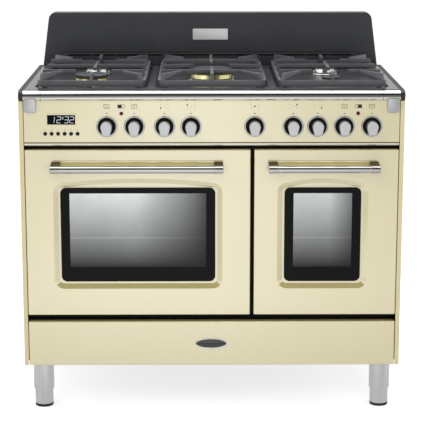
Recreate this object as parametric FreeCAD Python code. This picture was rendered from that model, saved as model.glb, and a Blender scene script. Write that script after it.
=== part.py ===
import FreeCAD, Part
import math
import os

# A freestanding range cooker, 1000 mm wide: gas hob with five burners, a wide oven on the left, a narrow
# oven on the right, a storage drawer below them and a splashback behind the hob. Millimetres, +Z up.
# X runs to the right, Y from the front to the back. While the pieces are made, Y = 0 is the doors' outer
# face and Z = 0 the floor; export() then moves them so that the origin is the centre of the footprint.

V = FreeCAD.Vector
X_AXIS = V(1, 0, 0)
Y_AXIS = V(0, 1, 0)
Z_AXIS = V(0, 0, 1)

# ---------------------------------------------------------------- driving dimensions
WIDTH = 1000.0            # over the side panels
BODY_DEPTH = 600.0        # door face to the back of the splashback
LEG_HEIGHT = 131.0        # floor to the underside of the body
DRAWER_TOP = 252.0
DOOR_BOTTOM = 270.5
DOOR_TOP = 715.0
PANEL_BOTTOM = 724.0      # control panel
RAIL_BOTTOM = 842.6       # top of the control panel and of the chassis
WORKTOP = 870.0           # top of the hob's rim
SPLASH_TOP = 1023.0

# sheets, gaps and fits
SHEET = 1.2               # folded steel sheet
FRAME_SHEET = 1.5         # the chassis' front frame and base
SIDE_GAP = 1.5            # beside the doors, between them and the side panels' flanges
DOOR_SPLIT = 9.6          # between the two doors
SEAT_GAP = 0.3            # loose pieces on their seats
RUN_CLEARANCE = 0.05      # radial, of a pin, shaft or spindle in its bore
BUTTON_CLEARANCE = 0.1    # radial, of a button in its hole
SLIDE_GAP = 0.3           # drawer rail in its runner
KNEE_SWELL = 0.06         # of the ball at a bent pipe or wire, over its radius

# side panels
FLANGE_FRONT = 11.5       # visible strip beside the doors
FLANGE_BACK = 20.0
FLANGE_TOP = 32.0         # carries the worktop trim and the hob
SIDE_FRONT = 1.0          # Y of the front flange
SIDE_BACK = 598.0
BACK_PANEL_Y = 575.0

# chassis
FRAME_FACE = 44.0         # Y of the front frame's face
FRAME_FLANGE = 26.0
BASE_EDGE = 24.0
DRAWER_HOLE_BOTTOM = 137.5
DRAWER_HOLE_TOP = 248.0

# doors
LEFT_DOOR_WIDTH = 588.0
DOOR_HALF_SPAN = WIDTH / 2 - FLANGE_FRONT - SIDE_GAP
DOOR_EDGE_RADIUS = 2.5
DOOR_CORNER_RADIUS = 3.0
DOOR_RETURN = 20.0        # depth of the skin's folded edges
DOOR_THICKNESS = 38.0     # outer face to the back of the inner pan
RECESS_DEPTH = 6.5
RECESS_SLOPE = 13.0       # width of its sloping wall
RECESS_RADIUS = 26.0
RECESS_MARGIN = 18.3      # recess outline outside the glass, at the sides
RECESS_BELOW = 19.0
RECESS_ABOVE = 14.0       # at the corners, under the arch
RECESS_RISE = 11.0        # height of the arch at the middle
GLASS_THICKNESS = 3.5
GLASS_RADIUS = 15.0
GLASS_WIDTH_LEFT = 405.7
GLASS_WIDTH_RIGHT = 201.2
GLASS_BOTTOM = 361.5
GLASS_HEIGHT = 252.5
GLASS_SHIFT_LEFT = -0.7   # from the door's middle
GLASS_SHIFT_RIGHT = -7.9
PRINT_SIDE = 23.9         # printed border beside the clear window
PRINT_BELOW = 39.2
PRINT_ABOVE = 15.0
WINDOW_RADIUS = 9.0
INNER_GLASS_THICKNESS = 4.0
INNER_GLASS_LAP = 12.0

# door hinges: the pivot lies low and inside the skin, so the open door stays clear of the drawer
PIVOT_Y = 22.0
PIVOT_RISE = 8.0          # above the door's bottom edge
HINGE_INSET = 92.0        # from each side of the door
HINGE_PIN_RADIUS = 3.0
HINGE_EYE_RADIUS = 6.0
HINGE_ARM = 4.0           # thickness of the door's arm
HINGE_CHEEK = 1.6
HINGE_SIDE_GAP = 0.3
HINGE_PLATE = 2.0
HINGE_PLATE_HALF = 14.0
HINGE_PLATE_HEIGHT = 20.0
PAN_RISE = 25.0           # bottom of the inner pan above the pivot
HINGE_PAD = 3.0

# door handles
HANDLE_AXIS_Y = -41.3
HANDLE_Z = 670.0
HANDLE_RADIUS = 9.5
HANDLE_SLEEVE_RADIUS = 10.2
HANDLE_SLEEVE = 25.0
HANDLE_LENGTH_LEFT = 448.0
HANDLE_LENGTH_RIGHT = 288.0
HANDLE_SHIFT_LEFT = -1.3  # from the door's middle
HANDLE_SHIFT_RIGHT = -7.6
HANDLE_POST_BAR = 18.0    # height of a post at the bar
HANDLE_POST_DOOR = 28.0   # and at the door
HANDLE_POST_EDGE = 2.5

# ovens
OVEN_BOTTOM = 318.0
OVEN_HEIGHT = 322.0
OVEN_DEPTH = 400.0
OVEN_WIDTH_LEFT = 440.0
OVEN_WIDTH_RIGHT = 262.0
OVEN_RADIUS = 16.0
OVEN_FLANGE = 14.0
SEAL_INSET = 2.0          # from the opening's edge to the gasket
SEAL_WIDTH = 8.0
LADDER_POST = 3.0         # radius of its two uprights
LADDER_WIRE = 2.5         # radius of its rails
WELD = 0.5                # how far crossing wires sink into each other
LADDER_PITCH = 60.0
LADDER_RAILS = 4
LADDER_BOTTOM = 48.0      # lowest rail above the oven's floor
LADDER_FROM = 25.0        # behind the frame
LADDER_DEPTH = 330.0
SHELF_WIRE = 3.0          # radius of the rim
SHELF_CROSS = 1.6         # radius of the cross wires
SHELF_PITCH = 24.0
SHELF_OVERHANG = 1.0      # of the rim past the rail's middle
SHELF_RAIL = 1            # the rail that carries the shelf, counted from 0
FAN_RADIUS = 72.0
FAN_BLADES = 10
FAN_BLADE_FROM = 28.0     # radius where a blade starts
FAN_DEPTH = 22.0
FAN_BACK_GAP = 12.0       # fan disc to the oven's back wall
FAN_SHAFT = 4.0           # radius
FAN_RISE = 161.0          # above the oven's floor
MOTOR_RADIUS = 34.0
MOTOR_LENGTH = 48.0
MOTOR_PLATE = 92.0
ELEMENT_RING = 96.0       # radius of the element's centre line
ELEMENT_ROD = 4.0
ELEMENT_TAIL = 30.0

# drawer
DRAWER_DEPTH = 460.0
DRAWER_INSET = 30.0       # from the body's side to the tray's
DRAWER_FLOOR = 141.0
DRAWER_WALL_TOP = 238.0
DRAWER_RIB_DROP = 20.0    # of the front's stiffening rib below that
RUNNER_BOTTOM = 150.0
RUNNER_HEIGHT = 36.0
RUNNER_FLANGE = 3.0
RUNNER_WEB = 2.0
RUNNER_REACH = 16.0       # from the tray's side to the runner's web
RUNNER_FROM = 60.0
RUNNER_TO = 520.0

# control panel
PANEL_FACE = 2.0          # Y of its face
PANEL_RETURN = 28.0
PANEL_SHELF = 62.0        # depth of the lower fold, which rests on the front frame
PANEL_NOSE = 6.0          # rounded lower edge
KNOB_Z = 776.0
OVEN_KNOBS_LEFT = (-272.3, -200.7)
OVEN_KNOBS_RIGHT = (343.3, 414.6)
GAS_KNOBS = (-122.6, -53.9, 111.2, 210.8, 274.4)
BEZEL_RADIUS = 27.5
BEZEL_INNER = 24.0
BEZEL_HEIGHT = 3.0
KNOB_DISC = 23.4          # radius
KNOB_DISC_HEIGHT = 6.0
KNOB_HEAD = 14.5          # radius of the grip's upper end
KNOB_TAIL = 10.5          # half width of the grip's lower end
KNOB_TAIL_CORNER = 4.5
KNOB_TOP = 16.0           # above the centre
KNOB_FOOT = 20.0          # below the centre
KNOB_REACH = 34.0         # in front of the panel
KNOB_EDGE = 2.4
SPINDLE_RADIUS = 4.0
SPINDLE_IN_KNOB = 20.0
SPINDLE_HOLE = 6.0
CLOCK_INSET = 110.0       # from the body's left side to the clock's centre
CLOCK_Z = 793.8
CLOCK_WIDTH = 72.0
CLOCK_HEIGHT = 24.4
CLOCK_GAP = 0.2
CLOCK_PROUD = 0.6
CLOCK_MODULE_Y = 8.0
CLOCK_MODULE_DEPTH = 18.0
CLOCK_MODULE_HALF = 52.0
CLOCK_MODULE_EDGE = 10.0  # below the buttons' centres
BUTTON_Z = 757.3
BUTTON_PITCH = 16.8
BUTTON_COUNT = 6
BUTTON_RADIUS = 5.0
BUTTON_PROUD = 2.6
BUTTON_FLANGE = 6.4
LAMP_SPOTS = (-234.1, 378.8)
LAMP_Z = 810.0
LAMP_RADIUS = 5.0
LAMP_STEM = 4.0

# front rail
RAIL_INSET = 13.0         # from the body's side to the bar's end
RAIL_CAP = 12.0           # length of each end cap
RAIL_AXIS_Y = 3.5
RAIL_BACK = 17.0
RAIL_TOP = 869.1
BRACKET_INSET = 15.0      # from the body's side to the wedge
BRACKET_WIDTH = 31.0
BRACKET_FOOT = 812.0
BRACKET_TOP_REACH = 14.0
BRACKET_FOOT_REACH = 5.0
BRACKET_HUG = 7.0         # how far the wedge reaches up round the rail

# hob
HOB_FRONT = 18.0
HOB_BACK = 563.0
TRIM_WIDTH = 14.0         # side trims
WELL_DEPTH = 8.0
WELL_RADIUS = 26.0
WELL_FRONT = 56.0
WELL_BACK = 536.0
RIDGE = 20.0              # between the wells
WELL_WIDTH = 296.0
MIDDLE_WELL_X = 1.0

# grates: X centre is the well's, sizes are shared
GRATE_WIDTH = 285.0
GRATE_FRONT = 62.0
GRATE_BACK = 532.0
GRATE_BAR = 8.0           # width of a bar
GRATE_FRAME_BOTTOM = 871.5
GRATE_FRAME_TOP = 888.0
GRATE_TOP = 905.0
FINGER_UNDERSIDE = 895.5
FINGER_RISE = 4.0         # length of the slope up from the frame
GRATE_FOOT = 15.0
GRATE_CORNER = 20.0
CORNER_START = 0.3        # a diagonal finger's start, as a share of the corner's radius
FINGER_GAP = 97.0         # between opposite finger tips
SPLIT_FRONT = 165.0       # Y of the front and rear burners, and of the middle one
SPLIT_MIDDLE = 286.0
SPLIT_BACK = 407.0
CORNER_FINGER_X = 58.0    # reach of a diagonal finger along X
CORNER_FINGER_Y = 76.0    # and along Y
CORNER_WEB = 26.0         # length of its deep part beside the frame

# burners
SIDE_BURNER_X = 320.0
CUP_RIM = 7.0             # the cup's flange outside the crown
CUP_FLANGE = 4.0          # its thickness
CUP_SHEET = 1.5
CUP_DEPTH = 24.0          # injector cup below the well
CUP_NECK = 0.62           # injector cup's radius as a share of its own crown's
PORTS = 28
PORT_WIDTH = 2.2
CAP_EDGE = 3.0

# gas rail
MANIFOLD_RADIUS = 8.0
MANIFOLD_END = 22.0       # past the first tap
MANIFOLD_Y = 58.0
MANIFOLD_Z = 756.0
TAP_WIDTH = 30.0
TAP_HEIGHT = 34.0
SWITCH_WIDTH = 42.0
SWITCH_HEIGHT = 44.0
SWITCH_DEPTH = 34.0
FEED_RADIUS = 3.0
FEED_LOWEST = 790.0
FEED_STEP = 8.5
FEED_DETOUR = 60.0        # the rear burners' pipes pass beside the front ones
INLET_INSET = 38.0        # from the body's right side
INLET_RADIUS = 10.5       # half-inch male thread
INLET_PLAY = 1.5          # round it in the back panel
INLET_SHOULDER = 14.0
INLET_SHOULDER_LENGTH = 16.0
INLET_LENGTH = 21.5       # from the shoulder to the thread's end

# splashback
SPLASH_FRONT = 565.0
SPLASH_INSET = 11.5       # from the body's side, at the worktop
SPLASH_NARROWING = 20.5   # on each side, up to its top
SPLASH_RADIUS = 22.0
SPLASH_EDGE = 3.0
FLUE_TOP = 908.0
FLUE_FRONT = 538.0
FLUE_INSET = 67.0         # from the body's side
FLUE_CHAMFER = 12.0
FLUE_EDGE = 3.0
FLUE_SLOTS = 12
FLUE_SLOT_MARGIN = 20.0   # from the box's ends
FLUE_SLOT_DROP = 8.5      # from its top to a slot's lower edge
FLUE_SLOT_LENGTH = 64.0
FLUE_SLOT_HEIGHT = 5.0

# legs
LEG_INSET = 44.0          # from the body's side to a leg's centre
LEG_FRONT_Y = 65.0
LEG_BACK_Y = 535.0
SLEEVE_RADIUS = 27.5
SLEEVE_BOTTOM = 49.0
FOOT_RADIUS = 24.5
FOOT_OVERLAP = 12.0
GROOVE_Z = 7.0            # groove round the foot
GROOVE_WIDTH = 2.0
GROOVE_DEPTH = 0.8
STEM_RADIUS = 6.0
SLEEVE_CAP = 6.0

# cover of the mains terminals on the back panel
TERMINAL_INSET = 90.0     # from the body's left side to its centre
TERMINAL_WIDTH = 96.0
TERMINAL_HEIGHT = 62.0
TERMINAL_DEPTH = 20.0
TERMINAL_Z = 190.0        # its underside
GLAND_RADIUS = 8.0        # hole for the mains lead

# vents in the back panel
VENT_ROWS = 4
VENT_COLUMNS = 7
VENT_PITCH_X = 110.0
VENT_PITCH_Z = 26.0
VENT_LENGTH = 60.0
VENT_FLAT = 0.1           # straight piece left between the two round corners
VENT_HEIGHT = 8.0
VENT_LOWEST = 560.0

# anti-tip bracket holes in the back panel
TIE_HALF_PITCH = 60.0
TIE_Z = 800.0
TIE_HOLE = 3.25

# ---------------------------------------------------------------- worked out from the sizes above
HALF = WIDTH / 2
RAIL_HALF = HALF - RAIL_INSET
BRACKET_OUTER = HALF - BRACKET_INSET
BRACKET_INNER = BRACKET_OUTER - BRACKET_WIDTH
DRAWER_SIDE = HALF - DRAWER_INSET
CLOCK_X = CLOCK_INSET - HALF
INLET_X = HALF - INLET_INSET
SPLASH_HALF_BASE = HALF - SPLASH_INSET
SPLASH_HALF_TOP = SPLASH_HALF_BASE - SPLASH_NARROWING
FLUE_HALF = HALF - FLUE_INSET
LEG_X = HALF - LEG_INSET
PIVOT_Z = DOOR_BOTTOM + PIVOT_RISE
PAN_BOTTOM = PIVOT_Z + PAN_RISE
HANDLE_REACH = HANDLE_SLEEVE_RADIUS - HANDLE_AXIS_Y
DOOR_FACE_Y = HANDLE_REACH - (BODY_DEPTH + HANDLE_REACH) / 2
WELL_FLOOR = WORKTOP - WELL_DEPTH
OVEN_BACK = FRAME_FACE + FRAME_SHEET + OVEN_DEPTH
CHASSIS_HALF = HALF - SHEET - SEAT_GAP
LEFT_DOOR = (-DOOR_HALF_SPAN, -DOOR_HALF_SPAN + LEFT_DOOR_WIDTH)
RIGHT_DOOR = (LEFT_DOOR[1] + DOOR_SPLIT, DOOR_HALF_SPAN)
WELL_CENTRES = (MIDDLE_WELL_X - WELL_WIDTH - RIDGE, MIDDLE_WELL_X, MIDDLE_WELL_X + WELL_WIDTH + RIDGE)


class Oven:
    """One oven with its door: everything that differs between the left and the right one."""

    def __init__(self, name, door, width, glass_width, glass_shift, handle_length, handle_shift):
        self.name = name
        self.door = door
        self.width = width
        self.centre = (door[0] + door[1]) / 2
        self.glass_width = glass_width
        self.glass_centre = self.centre + glass_shift
        self.handle_length = handle_length
        self.handle_centre = self.centre + handle_shift

    def hinge_places(self):
        return (self.door[0] + HINGE_INSET, self.door[1] - HINGE_INSET)


OVENS = (
    Oven("left", LEFT_DOOR, OVEN_WIDTH_LEFT,
         GLASS_WIDTH_LEFT, GLASS_SHIFT_LEFT, HANDLE_LENGTH_LEFT, HANDLE_SHIFT_LEFT),
    Oven("right", RIGHT_DOOR, OVEN_WIDTH_RIGHT,
         GLASS_WIDTH_RIGHT, GLASS_SHIFT_RIGHT, HANDLE_LENGTH_RIGHT, HANDLE_SHIFT_RIGHT),
)


class Burner:
    """A gas burner: its place, its brass crown's radius and height, its cap, and the knob that feeds it."""

    def __init__(self, x, y, crown, crown_top, cap_height, knob):
        self.x = x
        self.y = y
        self.crown = crown
        self.crown_top = crown_top
        self.cap_height = cap_height
        self.knob = knob


BURNERS = (
    Burner(-SIDE_BURNER_X, SPLIT_FRONT, 46.0, 887.5, 6.5, GAS_KNOBS[0]),
    Burner(-SIDE_BURNER_X, SPLIT_BACK, 33.0, 883.0, 5.5, GAS_KNOBS[1]),
    Burner(MIDDLE_WELL_X, SPLIT_MIDDLE, 62.0, 884.5, 9.0, GAS_KNOBS[2]),
    Burner(SIDE_BURNER_X, SPLIT_BACK, 33.0, 883.0, 5.5, GAS_KNOBS[3]),
    Burner(SIDE_BURNER_X, SPLIT_FRONT, 25.0, 881.0, 5.5, GAS_KNOBS[4]),
)


# ---------------------------------------------------------------- shapes that the sub-parts share
def block(x_from, x_to, y_from, y_to, z_from, z_to):
    return Part.makeBox(x_to - x_from, y_to - y_from, z_to - z_from, V(x_from, y_from, z_from))


def rod(radius, start, end):
    way = end - start
    return Part.makeCylinder(radius, way.Length, start, way)


def rod_x(radius, x_from, x_to, y, z):
    return rod(radius, V(x_from, y, z), V(x_to, y, z))


def rod_y(radius, y_from, y_to, x, z):
    return rod(radius, V(x, y_from, z), V(x, y_to, z))


def rod_z(radius, z_from, z_to, x, y):
    return rod(radius, V(x, y, z_from), V(x, y, z_to))


def fuse(shapes):
    whole = shapes[0]
    if len(shapes) > 1:
        whole = shapes[0].multiFuse(shapes[1:])
    return whole.removeSplitter()


def face_from(edges):
    return Part.Face(Part.Wire(edges))


def rounded_outline(x_from, x_to, z_from, z_to, radius, y):
    """Rectangle with round corners in the plane Y = y."""
    centres = (
        (x_to - radius, z_to - radius, 0),
        (x_from + radius, z_to - radius, 90),
        (x_from + radius, z_from + radius, 180),
        (x_to - radius, z_from + radius, 270),
    )
    edges = []
    ends = []
    for cx, cz, angle in centres:
        points = []
        for turn in (0, 45, 90):
            a = math.radians(angle + turn)
            points.append(V(cx + radius * math.cos(a), y, cz + radius * math.sin(a)))
        edges.append(Part.Arc(*points).toShape())
        ends.append((points[0], points[2]))
    for i in range(len(ends)):
        edges.append(Part.LineSegment(ends[i][1], ends[(i + 1) % len(ends)][0]).toShape())
    return face_from(Part.__sortEdges__(edges))


def rounded_slab(x_from, x_to, z_from, z_to, radius, y_from, y_to):
    """Upright slab with round corners seen from the front."""
    return rounded_outline(x_from, x_to, z_from, z_to, radius, y_from).extrude(V(0, y_to - y_from, 0))


def flat_slab(x_from, x_to, y_from, y_to, radius, z_from, z_to):
    """Lying slab with round corners seen from above."""
    upright = rounded_slab(x_from, x_to, y_from, y_to, radius, 0, z_to - z_from)
    lying = upright.rotated(V(0, 0, 0), X_AXIS, -90)
    # the turn sends (x, y, z) to (x, z, -y): the slab's height lies below 0 and its Z became Y
    return lying.translated(V(0, 0, z_to))


def edges_where(shape, test):
    return [e for e in shape.Edges if test(e)]


def at_y(edge, y):
    box = edge.BoundBox
    return abs(box.YMin - y) < 0.01 and abs(box.YMax - y) < 0.01


def at_z(edge, z):
    box = edge.BoundBox
    return abs(box.ZMin - z) < 0.01 and abs(box.ZMax - z) < 0.01


def knee(radius, spot):
    """Ball at a pipe's bend, a little fuller than the pipe."""
    return Part.makeSphere(radius + KNEE_SWELL, spot)


def pipe(points, radius):
    """Round pipe through the points, with a ball at each bend."""
    pieces = []
    for start, end in zip(points, points[1:]):
        pieces.append(rod(radius, start, end))
    for corner in points[1:-1]:
        pieces.append(knee(radius, corner))
    return fuse(pieces)


def mirrored_x(shape):
    return shape.mirror(V(0, 0, 0), X_AXIS)


def both_sides(shape):
    return [shape, mirrored_x(shape)]


def export(node, shapes):
    """Writes one sub-part. Several solids in it stay separate."""
    whole = shapes[0]
    if len(shapes) > 1:
        whole = Part.makeCompound(shapes)
    whole = whole.translated(V(0, DOOR_FACE_Y, 0))
    if not whole.isValid():
        print("not valid:", node)
    print(node, len(whole.Solids), "solid(s)", round(whole.Volume / 1000, 1), "cm3")
    whole.exportStep("parts/" + node + ".step")


# ---------------------------------------------------------------- body
def side_panel():
    outer = HALF - SHEET
    plate = block(outer, HALF, SIDE_FRONT, SIDE_BACK, LEG_HEIGHT, RAIL_BOTTOM)
    front = block(HALF - FLANGE_FRONT, HALF, SIDE_FRONT, SIDE_FRONT + SHEET, LEG_HEIGHT, RAIL_BOTTOM)
    back = block(HALF - FLANGE_BACK, HALF, BACK_PANEL_Y - SHEET, BACK_PANEL_Y, LEG_HEIGHT, RAIL_BOTTOM)
    top_front = PANEL_RETURN + 2 * SHEET
    top = block(HALF - FLANGE_TOP, HALF, top_front, SIDE_BACK, RAIL_BOTTOM - SHEET, RAIL_BOTTOM)
    return fuse([plate, front, back, top])


def terminal_cover(back):
    """Hollow box on the back panel, with a hole in its underside for the mains lead."""
    x_from = TERMINAL_INSET - HALF - TERMINAL_WIDTH / 2
    x_to = x_from + TERMINAL_WIDTH
    high = TERMINAL_Z + TERMINAL_HEIGHT
    box = block(x_from, x_to, back - SHEET / 2, back + TERMINAL_DEPTH, TERMINAL_Z, high)
    inner_back = back + TERMINAL_DEPTH - SHEET
    inner = block(x_from + SHEET, x_to - SHEET, back, inner_back, TERMINAL_Z + SHEET, high - SHEET)
    lead_y = back + TERMINAL_DEPTH / 2
    lead = rod_z(GLAND_RADIUS, TERMINAL_Z - 1, TERMINAL_Z + SHEET + 1, (x_from + x_to) / 2, lead_y)
    return box.cut(inner).cut(lead)


def back_panel():
    top = RAIL_BOTTOM - SHEET
    back = BACK_PANEL_Y + SHEET
    before = BACK_PANEL_Y - 1
    plate = block(-CHASSIS_HALF, CHASSIS_HALF, BACK_PANEL_Y, back, LEG_HEIGHT, top)
    cuts = [rod_y(INLET_RADIUS + INLET_PLAY, before, back + 1, INLET_X, MANIFOLD_Z)]
    for x in (-TIE_HALF_PITCH, TIE_HALF_PITCH):
        cuts.append(rod_y(TIE_HOLE, before, back + 1, x, TIE_Z))
    for row in range(VENT_ROWS):
        for column in range(VENT_COLUMNS):
            x = (column - (VENT_COLUMNS - 1) / 2) * VENT_PITCH_X
            z = VENT_LOWEST + row * VENT_PITCH_Z
            half_w = VENT_LENGTH / 2
            half_h = VENT_HEIGHT / 2
            radius = half_h - VENT_FLAT
            slot = rounded_slab(x - half_w, x + half_w, z - half_h, z + half_h, radius, before, back + 1)
            cuts.append(slot)
    return fuse([plate.cut(Part.makeCompound(cuts)), terminal_cover(back)])


def base_tray():
    top = LEG_HEIGHT + FRAME_SHEET
    front = FRAME_FACE
    back = BACK_PANEL_Y - SHEET - SEAT_GAP
    plate = block(-CHASSIS_HALF, CHASSIS_HALF, front, back, LEG_HEIGHT, top)
    edge_front = front + FRAME_FLANGE + 1
    edge = block(CHASSIS_HALF - FRAME_SHEET, CHASSIS_HALF, edge_front, back, top, top + BASE_EDGE)
    rear = block(-CHASSIS_HALF, CHASSIS_HALF, back - FRAME_SHEET, back, top, top + BASE_EDGE)
    return fuse([plate, rear] + both_sides(edge))


def oven_span(oven, margin=0.0):
    return oven.centre - oven.width / 2 - margin, oven.centre + oven.width / 2 + margin


def oven_hole(oven, margin, y_from, y_to):
    x_from, x_to = oven_span(oven, margin)
    radius = OVEN_RADIUS + margin
    top = OVEN_BOTTOM + OVEN_HEIGHT + margin
    return rounded_slab(x_from, x_to, OVEN_BOTTOM - margin, top, radius, y_from, y_to)


def face_frame():
    back = FRAME_FACE + FRAME_SHEET
    bottom = LEG_HEIGHT + FRAME_SHEET
    plate = block(-CHASSIS_HALF, CHASSIS_HALF, FRAME_FACE, back, bottom, PANEL_BOTTOM)
    hole_half = DRAWER_SIDE + RUNNER_REACH + SEAT_GAP
    hole = block(-hole_half, hole_half, FRAME_FACE - 1, back + 1, DRAWER_HOLE_BOTTOM, DRAWER_HOLE_TOP)
    plate = plate.cut(hole)
    for oven in OVENS:
        plate = plate.cut(oven_hole(oven, 0.0, FRAME_FACE - 1, back + 1))
    fold = FRAME_FACE + FRAME_FLANGE
    flange = block(CHASSIS_HALF - FRAME_SHEET, CHASSIS_HALF, back, fold, bottom, PANEL_BOTTOM)
    top = block(-CHASSIS_HALF, CHASSIS_HALF, back, fold, PANEL_BOTTOM - FRAME_SHEET, PANEL_BOTTOM)
    return fuse([plate, top] + both_sides(flange))


def leg_spots():
    return [V(x, y, 0) for x in (-LEG_X, LEG_X) for y in (LEG_FRONT_Y, LEG_BACK_Y)]


def leg_sleeve(spot):
    tube = rod_z(SLEEVE_RADIUS, SLEEVE_BOTTOM, LEG_HEIGHT, spot.x, spot.y)
    bore = rod_z(FOOT_RADIUS + SEAT_GAP, SLEEVE_BOTTOM - 1, LEG_HEIGHT - SLEEVE_CAP, spot.x, spot.y)
    thread = rod_z(STEM_RADIUS + RUN_CLEARANCE, LEG_HEIGHT - SLEEVE_CAP - 1, LEG_HEIGHT + 1, spot.x, spot.y)
    return tube.cut(bore).cut(thread)


def leg_foot(spot):
    body = rod_z(FOOT_RADIUS, 0, SLEEVE_BOTTOM + FOOT_OVERLAP, spot.x, spot.y)
    groove_top = GROOVE_Z + GROOVE_WIDTH
    groove = rod_z(FOOT_RADIUS + 1, GROOVE_Z, groove_top, spot.x, spot.y)
    groove = groove.cut(rod_z(FOOT_RADIUS - GROOVE_DEPTH, GROOVE_Z - 1, groove_top + 1, spot.x, spot.y))
    stem = rod_z(STEM_RADIUS, SLEEVE_BOTTOM, LEG_HEIGHT - SEAT_GAP, spot.x, spot.y)
    foot = body.cut(groove)
    foot = foot.makeFillet(1.5, edges_where(foot, lambda e: at_z(e, 0)))
    return fuse([foot, stem])


# ---------------------------------------------------------------- ovens
def oven_liner(oven):
    front = FRAME_FACE + FRAME_SHEET
    shell = oven_hole(oven, SHEET, front, OVEN_BACK + SHEET).cut(oven_hole(oven, 0.0, front - 1, OVEN_BACK))
    flange = oven_hole(oven, OVEN_FLANGE, front, front + SHEET)
    flange = flange.cut(oven_hole(oven, SHEET / 2, front - 1, front + 2 * SHEET))
    liner = fuse([shell, flange])
    fan_z = OVEN_BOTTOM + FAN_RISE
    cuts = [rod_y(FAN_SHAFT + 2, OVEN_BACK - 1, OVEN_BACK + SHEET + 1, oven.centre, fan_z)]
    for x in element_tails(oven):
        cuts.append(rod_y(ELEMENT_ROD + SEAT_GAP, OVEN_BACK - 1, OVEN_BACK + SHEET + 1, x, element_tail_z()))
    return liner.cut(Part.makeCompound(cuts))


def door_seal(oven):
    front = DOOR_THICKNESS + SEAT_GAP
    outer = oven_hole(oven, SEAL_INSET + SEAL_WIDTH, front, FRAME_FACE)
    ring = outer.cut(oven_hole(oven, SEAL_INSET, front - 1, FRAME_FACE + 1))
    return ring.makeFillet(SEAL_WIDTH * 0.3, edges_where(ring, lambda e: at_y(e, front)))


def ladder_rail_z(rail):
    return OVEN_BOTTOM + LADDER_BOTTOM + rail * LADDER_PITCH


def ladder_rail_reach(oven):
    """Distance of the rails from the oven's centre."""
    return oven.width / 2 - SEAT_GAP - 2 * LADDER_POST - LADDER_WIRE + WELD


def shelf_ladder(oven, side):
    """Wire rack on an oven's side wall. side is -1 or 1."""
    x = oven.centre + side * (oven.width / 2 - LADDER_POST - SEAT_GAP)
    y_from = FRAME_FACE + LADDER_FROM
    y_to = y_from + LADDER_DEPTH
    top = ladder_rail_z(LADDER_RAILS - 1) + 20
    bottom = ladder_rail_z(0) - 20
    wires = [rod_z(LADDER_POST, bottom, top, x, y_from), rod_z(LADDER_POST, bottom, top, x, y_to)]
    rail_x = oven.centre + side * ladder_rail_reach(oven)
    for rail in range(LADDER_RAILS):
        wires.append(rod_y(LADDER_WIRE, y_from - 5, y_to + 5, rail_x, ladder_rail_z(rail)))
    return fuse(wires)


def oven_shelf(oven):
    half = ladder_rail_reach(oven) + SHELF_OVERHANG
    z = ladder_rail_z(SHELF_RAIL) + LADDER_WIRE + SEAT_GAP + SHELF_WIRE
    y_from = FRAME_FACE + LADDER_FROM + 12
    y_to = y_from + LADDER_DEPTH - 24
    corners = [
        V(oven.centre - half, y_from, z), V(oven.centre + half, y_from, z),
        V(oven.centre + half, y_to, z), V(oven.centre - half, y_to, z), V(oven.centre - half, y_from, z),
    ]
    pieces = [pipe(corners, SHELF_WIRE), knee(SHELF_WIRE, corners[0])]
    count = int((2 * half - 2 * SHELF_PITCH / 2) / SHELF_PITCH)
    first = oven.centre - (count - 1) * SHELF_PITCH / 2
    for i in range(count):
        pieces.append(rod_y(SHELF_CROSS, y_from, y_to, first + i * SHELF_PITCH, z))
    return fuse(pieces)


def fan_back(oven):
    return OVEN_BACK - FAN_BACK_GAP


def fan(oven):
    z = OVEN_BOTTOM + FAN_RISE
    back = fan_back(oven)
    disc = rod_y(FAN_RADIUS, back - SHEET, back, oven.centre, z)
    hub = rod_y(10.0, back - FAN_DEPTH, back, oven.centre, z)
    shaft = rod_y(FAN_SHAFT, back - FAN_DEPTH - 4, OVEN_BACK + SHEET + MOTOR_LENGTH - 6, oven.centre, z)
    pieces = [disc, hub, shaft]
    for i in range(FAN_BLADES):
        root = oven.centre + FAN_BLADE_FROM
        blade = block(root, oven.centre + FAN_RADIUS, back - FAN_DEPTH, back - SHEET / 2, z, z + SHEET)
        blade.rotate(V(oven.centre, 0, z), Y_AXIS, i * 360.0 / FAN_BLADES)
        pieces.append(blade)
    return fuse(pieces)


def fan_motor(oven):
    z = OVEN_BOTTOM + FAN_RISE
    front = OVEN_BACK + SHEET
    half = MOTOR_PLATE / 2
    plate = rounded_slab(oven.centre - half, oven.centre + half, z - half, z + half, 8.0, front, front + 2.0)
    can = rod_y(MOTOR_RADIUS, front, front + MOTOR_LENGTH, oven.centre, z)
    bore = rod_y(FAN_SHAFT + RUN_CLEARANCE, front - 1, front + MOTOR_LENGTH - 4, oven.centre, z)
    return fuse([plate, can]).cut(bore)


def element_tails(oven):
    return (oven.centre - 12.0, oven.centre + 12.0)


def element_tail_z():
    return OVEN_BOTTOM + FAN_RISE - math.sqrt(ELEMENT_RING ** 2 - 12.0 ** 2)


def heating_element(oven):
    z = OVEN_BOTTOM + FAN_RISE
    y = fan_back(oven) - FAN_DEPTH / 2
    ring = Part.makeTorus(ELEMENT_RING, ELEMENT_ROD, V(oven.centre, y, z), Y_AXIS)
    gap = block(oven.centre - 12, oven.centre + 12, y - 6, y + 6, z - ELEMENT_RING - 8, z - ELEMENT_RING + 8)
    pieces = [ring.cut(gap)]
    for x in element_tails(oven):
        pieces.append(rod_y(ELEMENT_ROD, y, OVEN_BACK + SHEET + ELEMENT_TAIL, x, element_tail_z()))
        pieces.append(knee(ELEMENT_ROD, V(x, y, element_tail_z())))
    return fuse(pieces)


# ---------------------------------------------------------------- doors
def glass_span(oven, margin=0.0):
    half = oven.glass_width / 2 + margin
    return oven.glass_centre - half, oven.glass_centre + half


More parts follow.
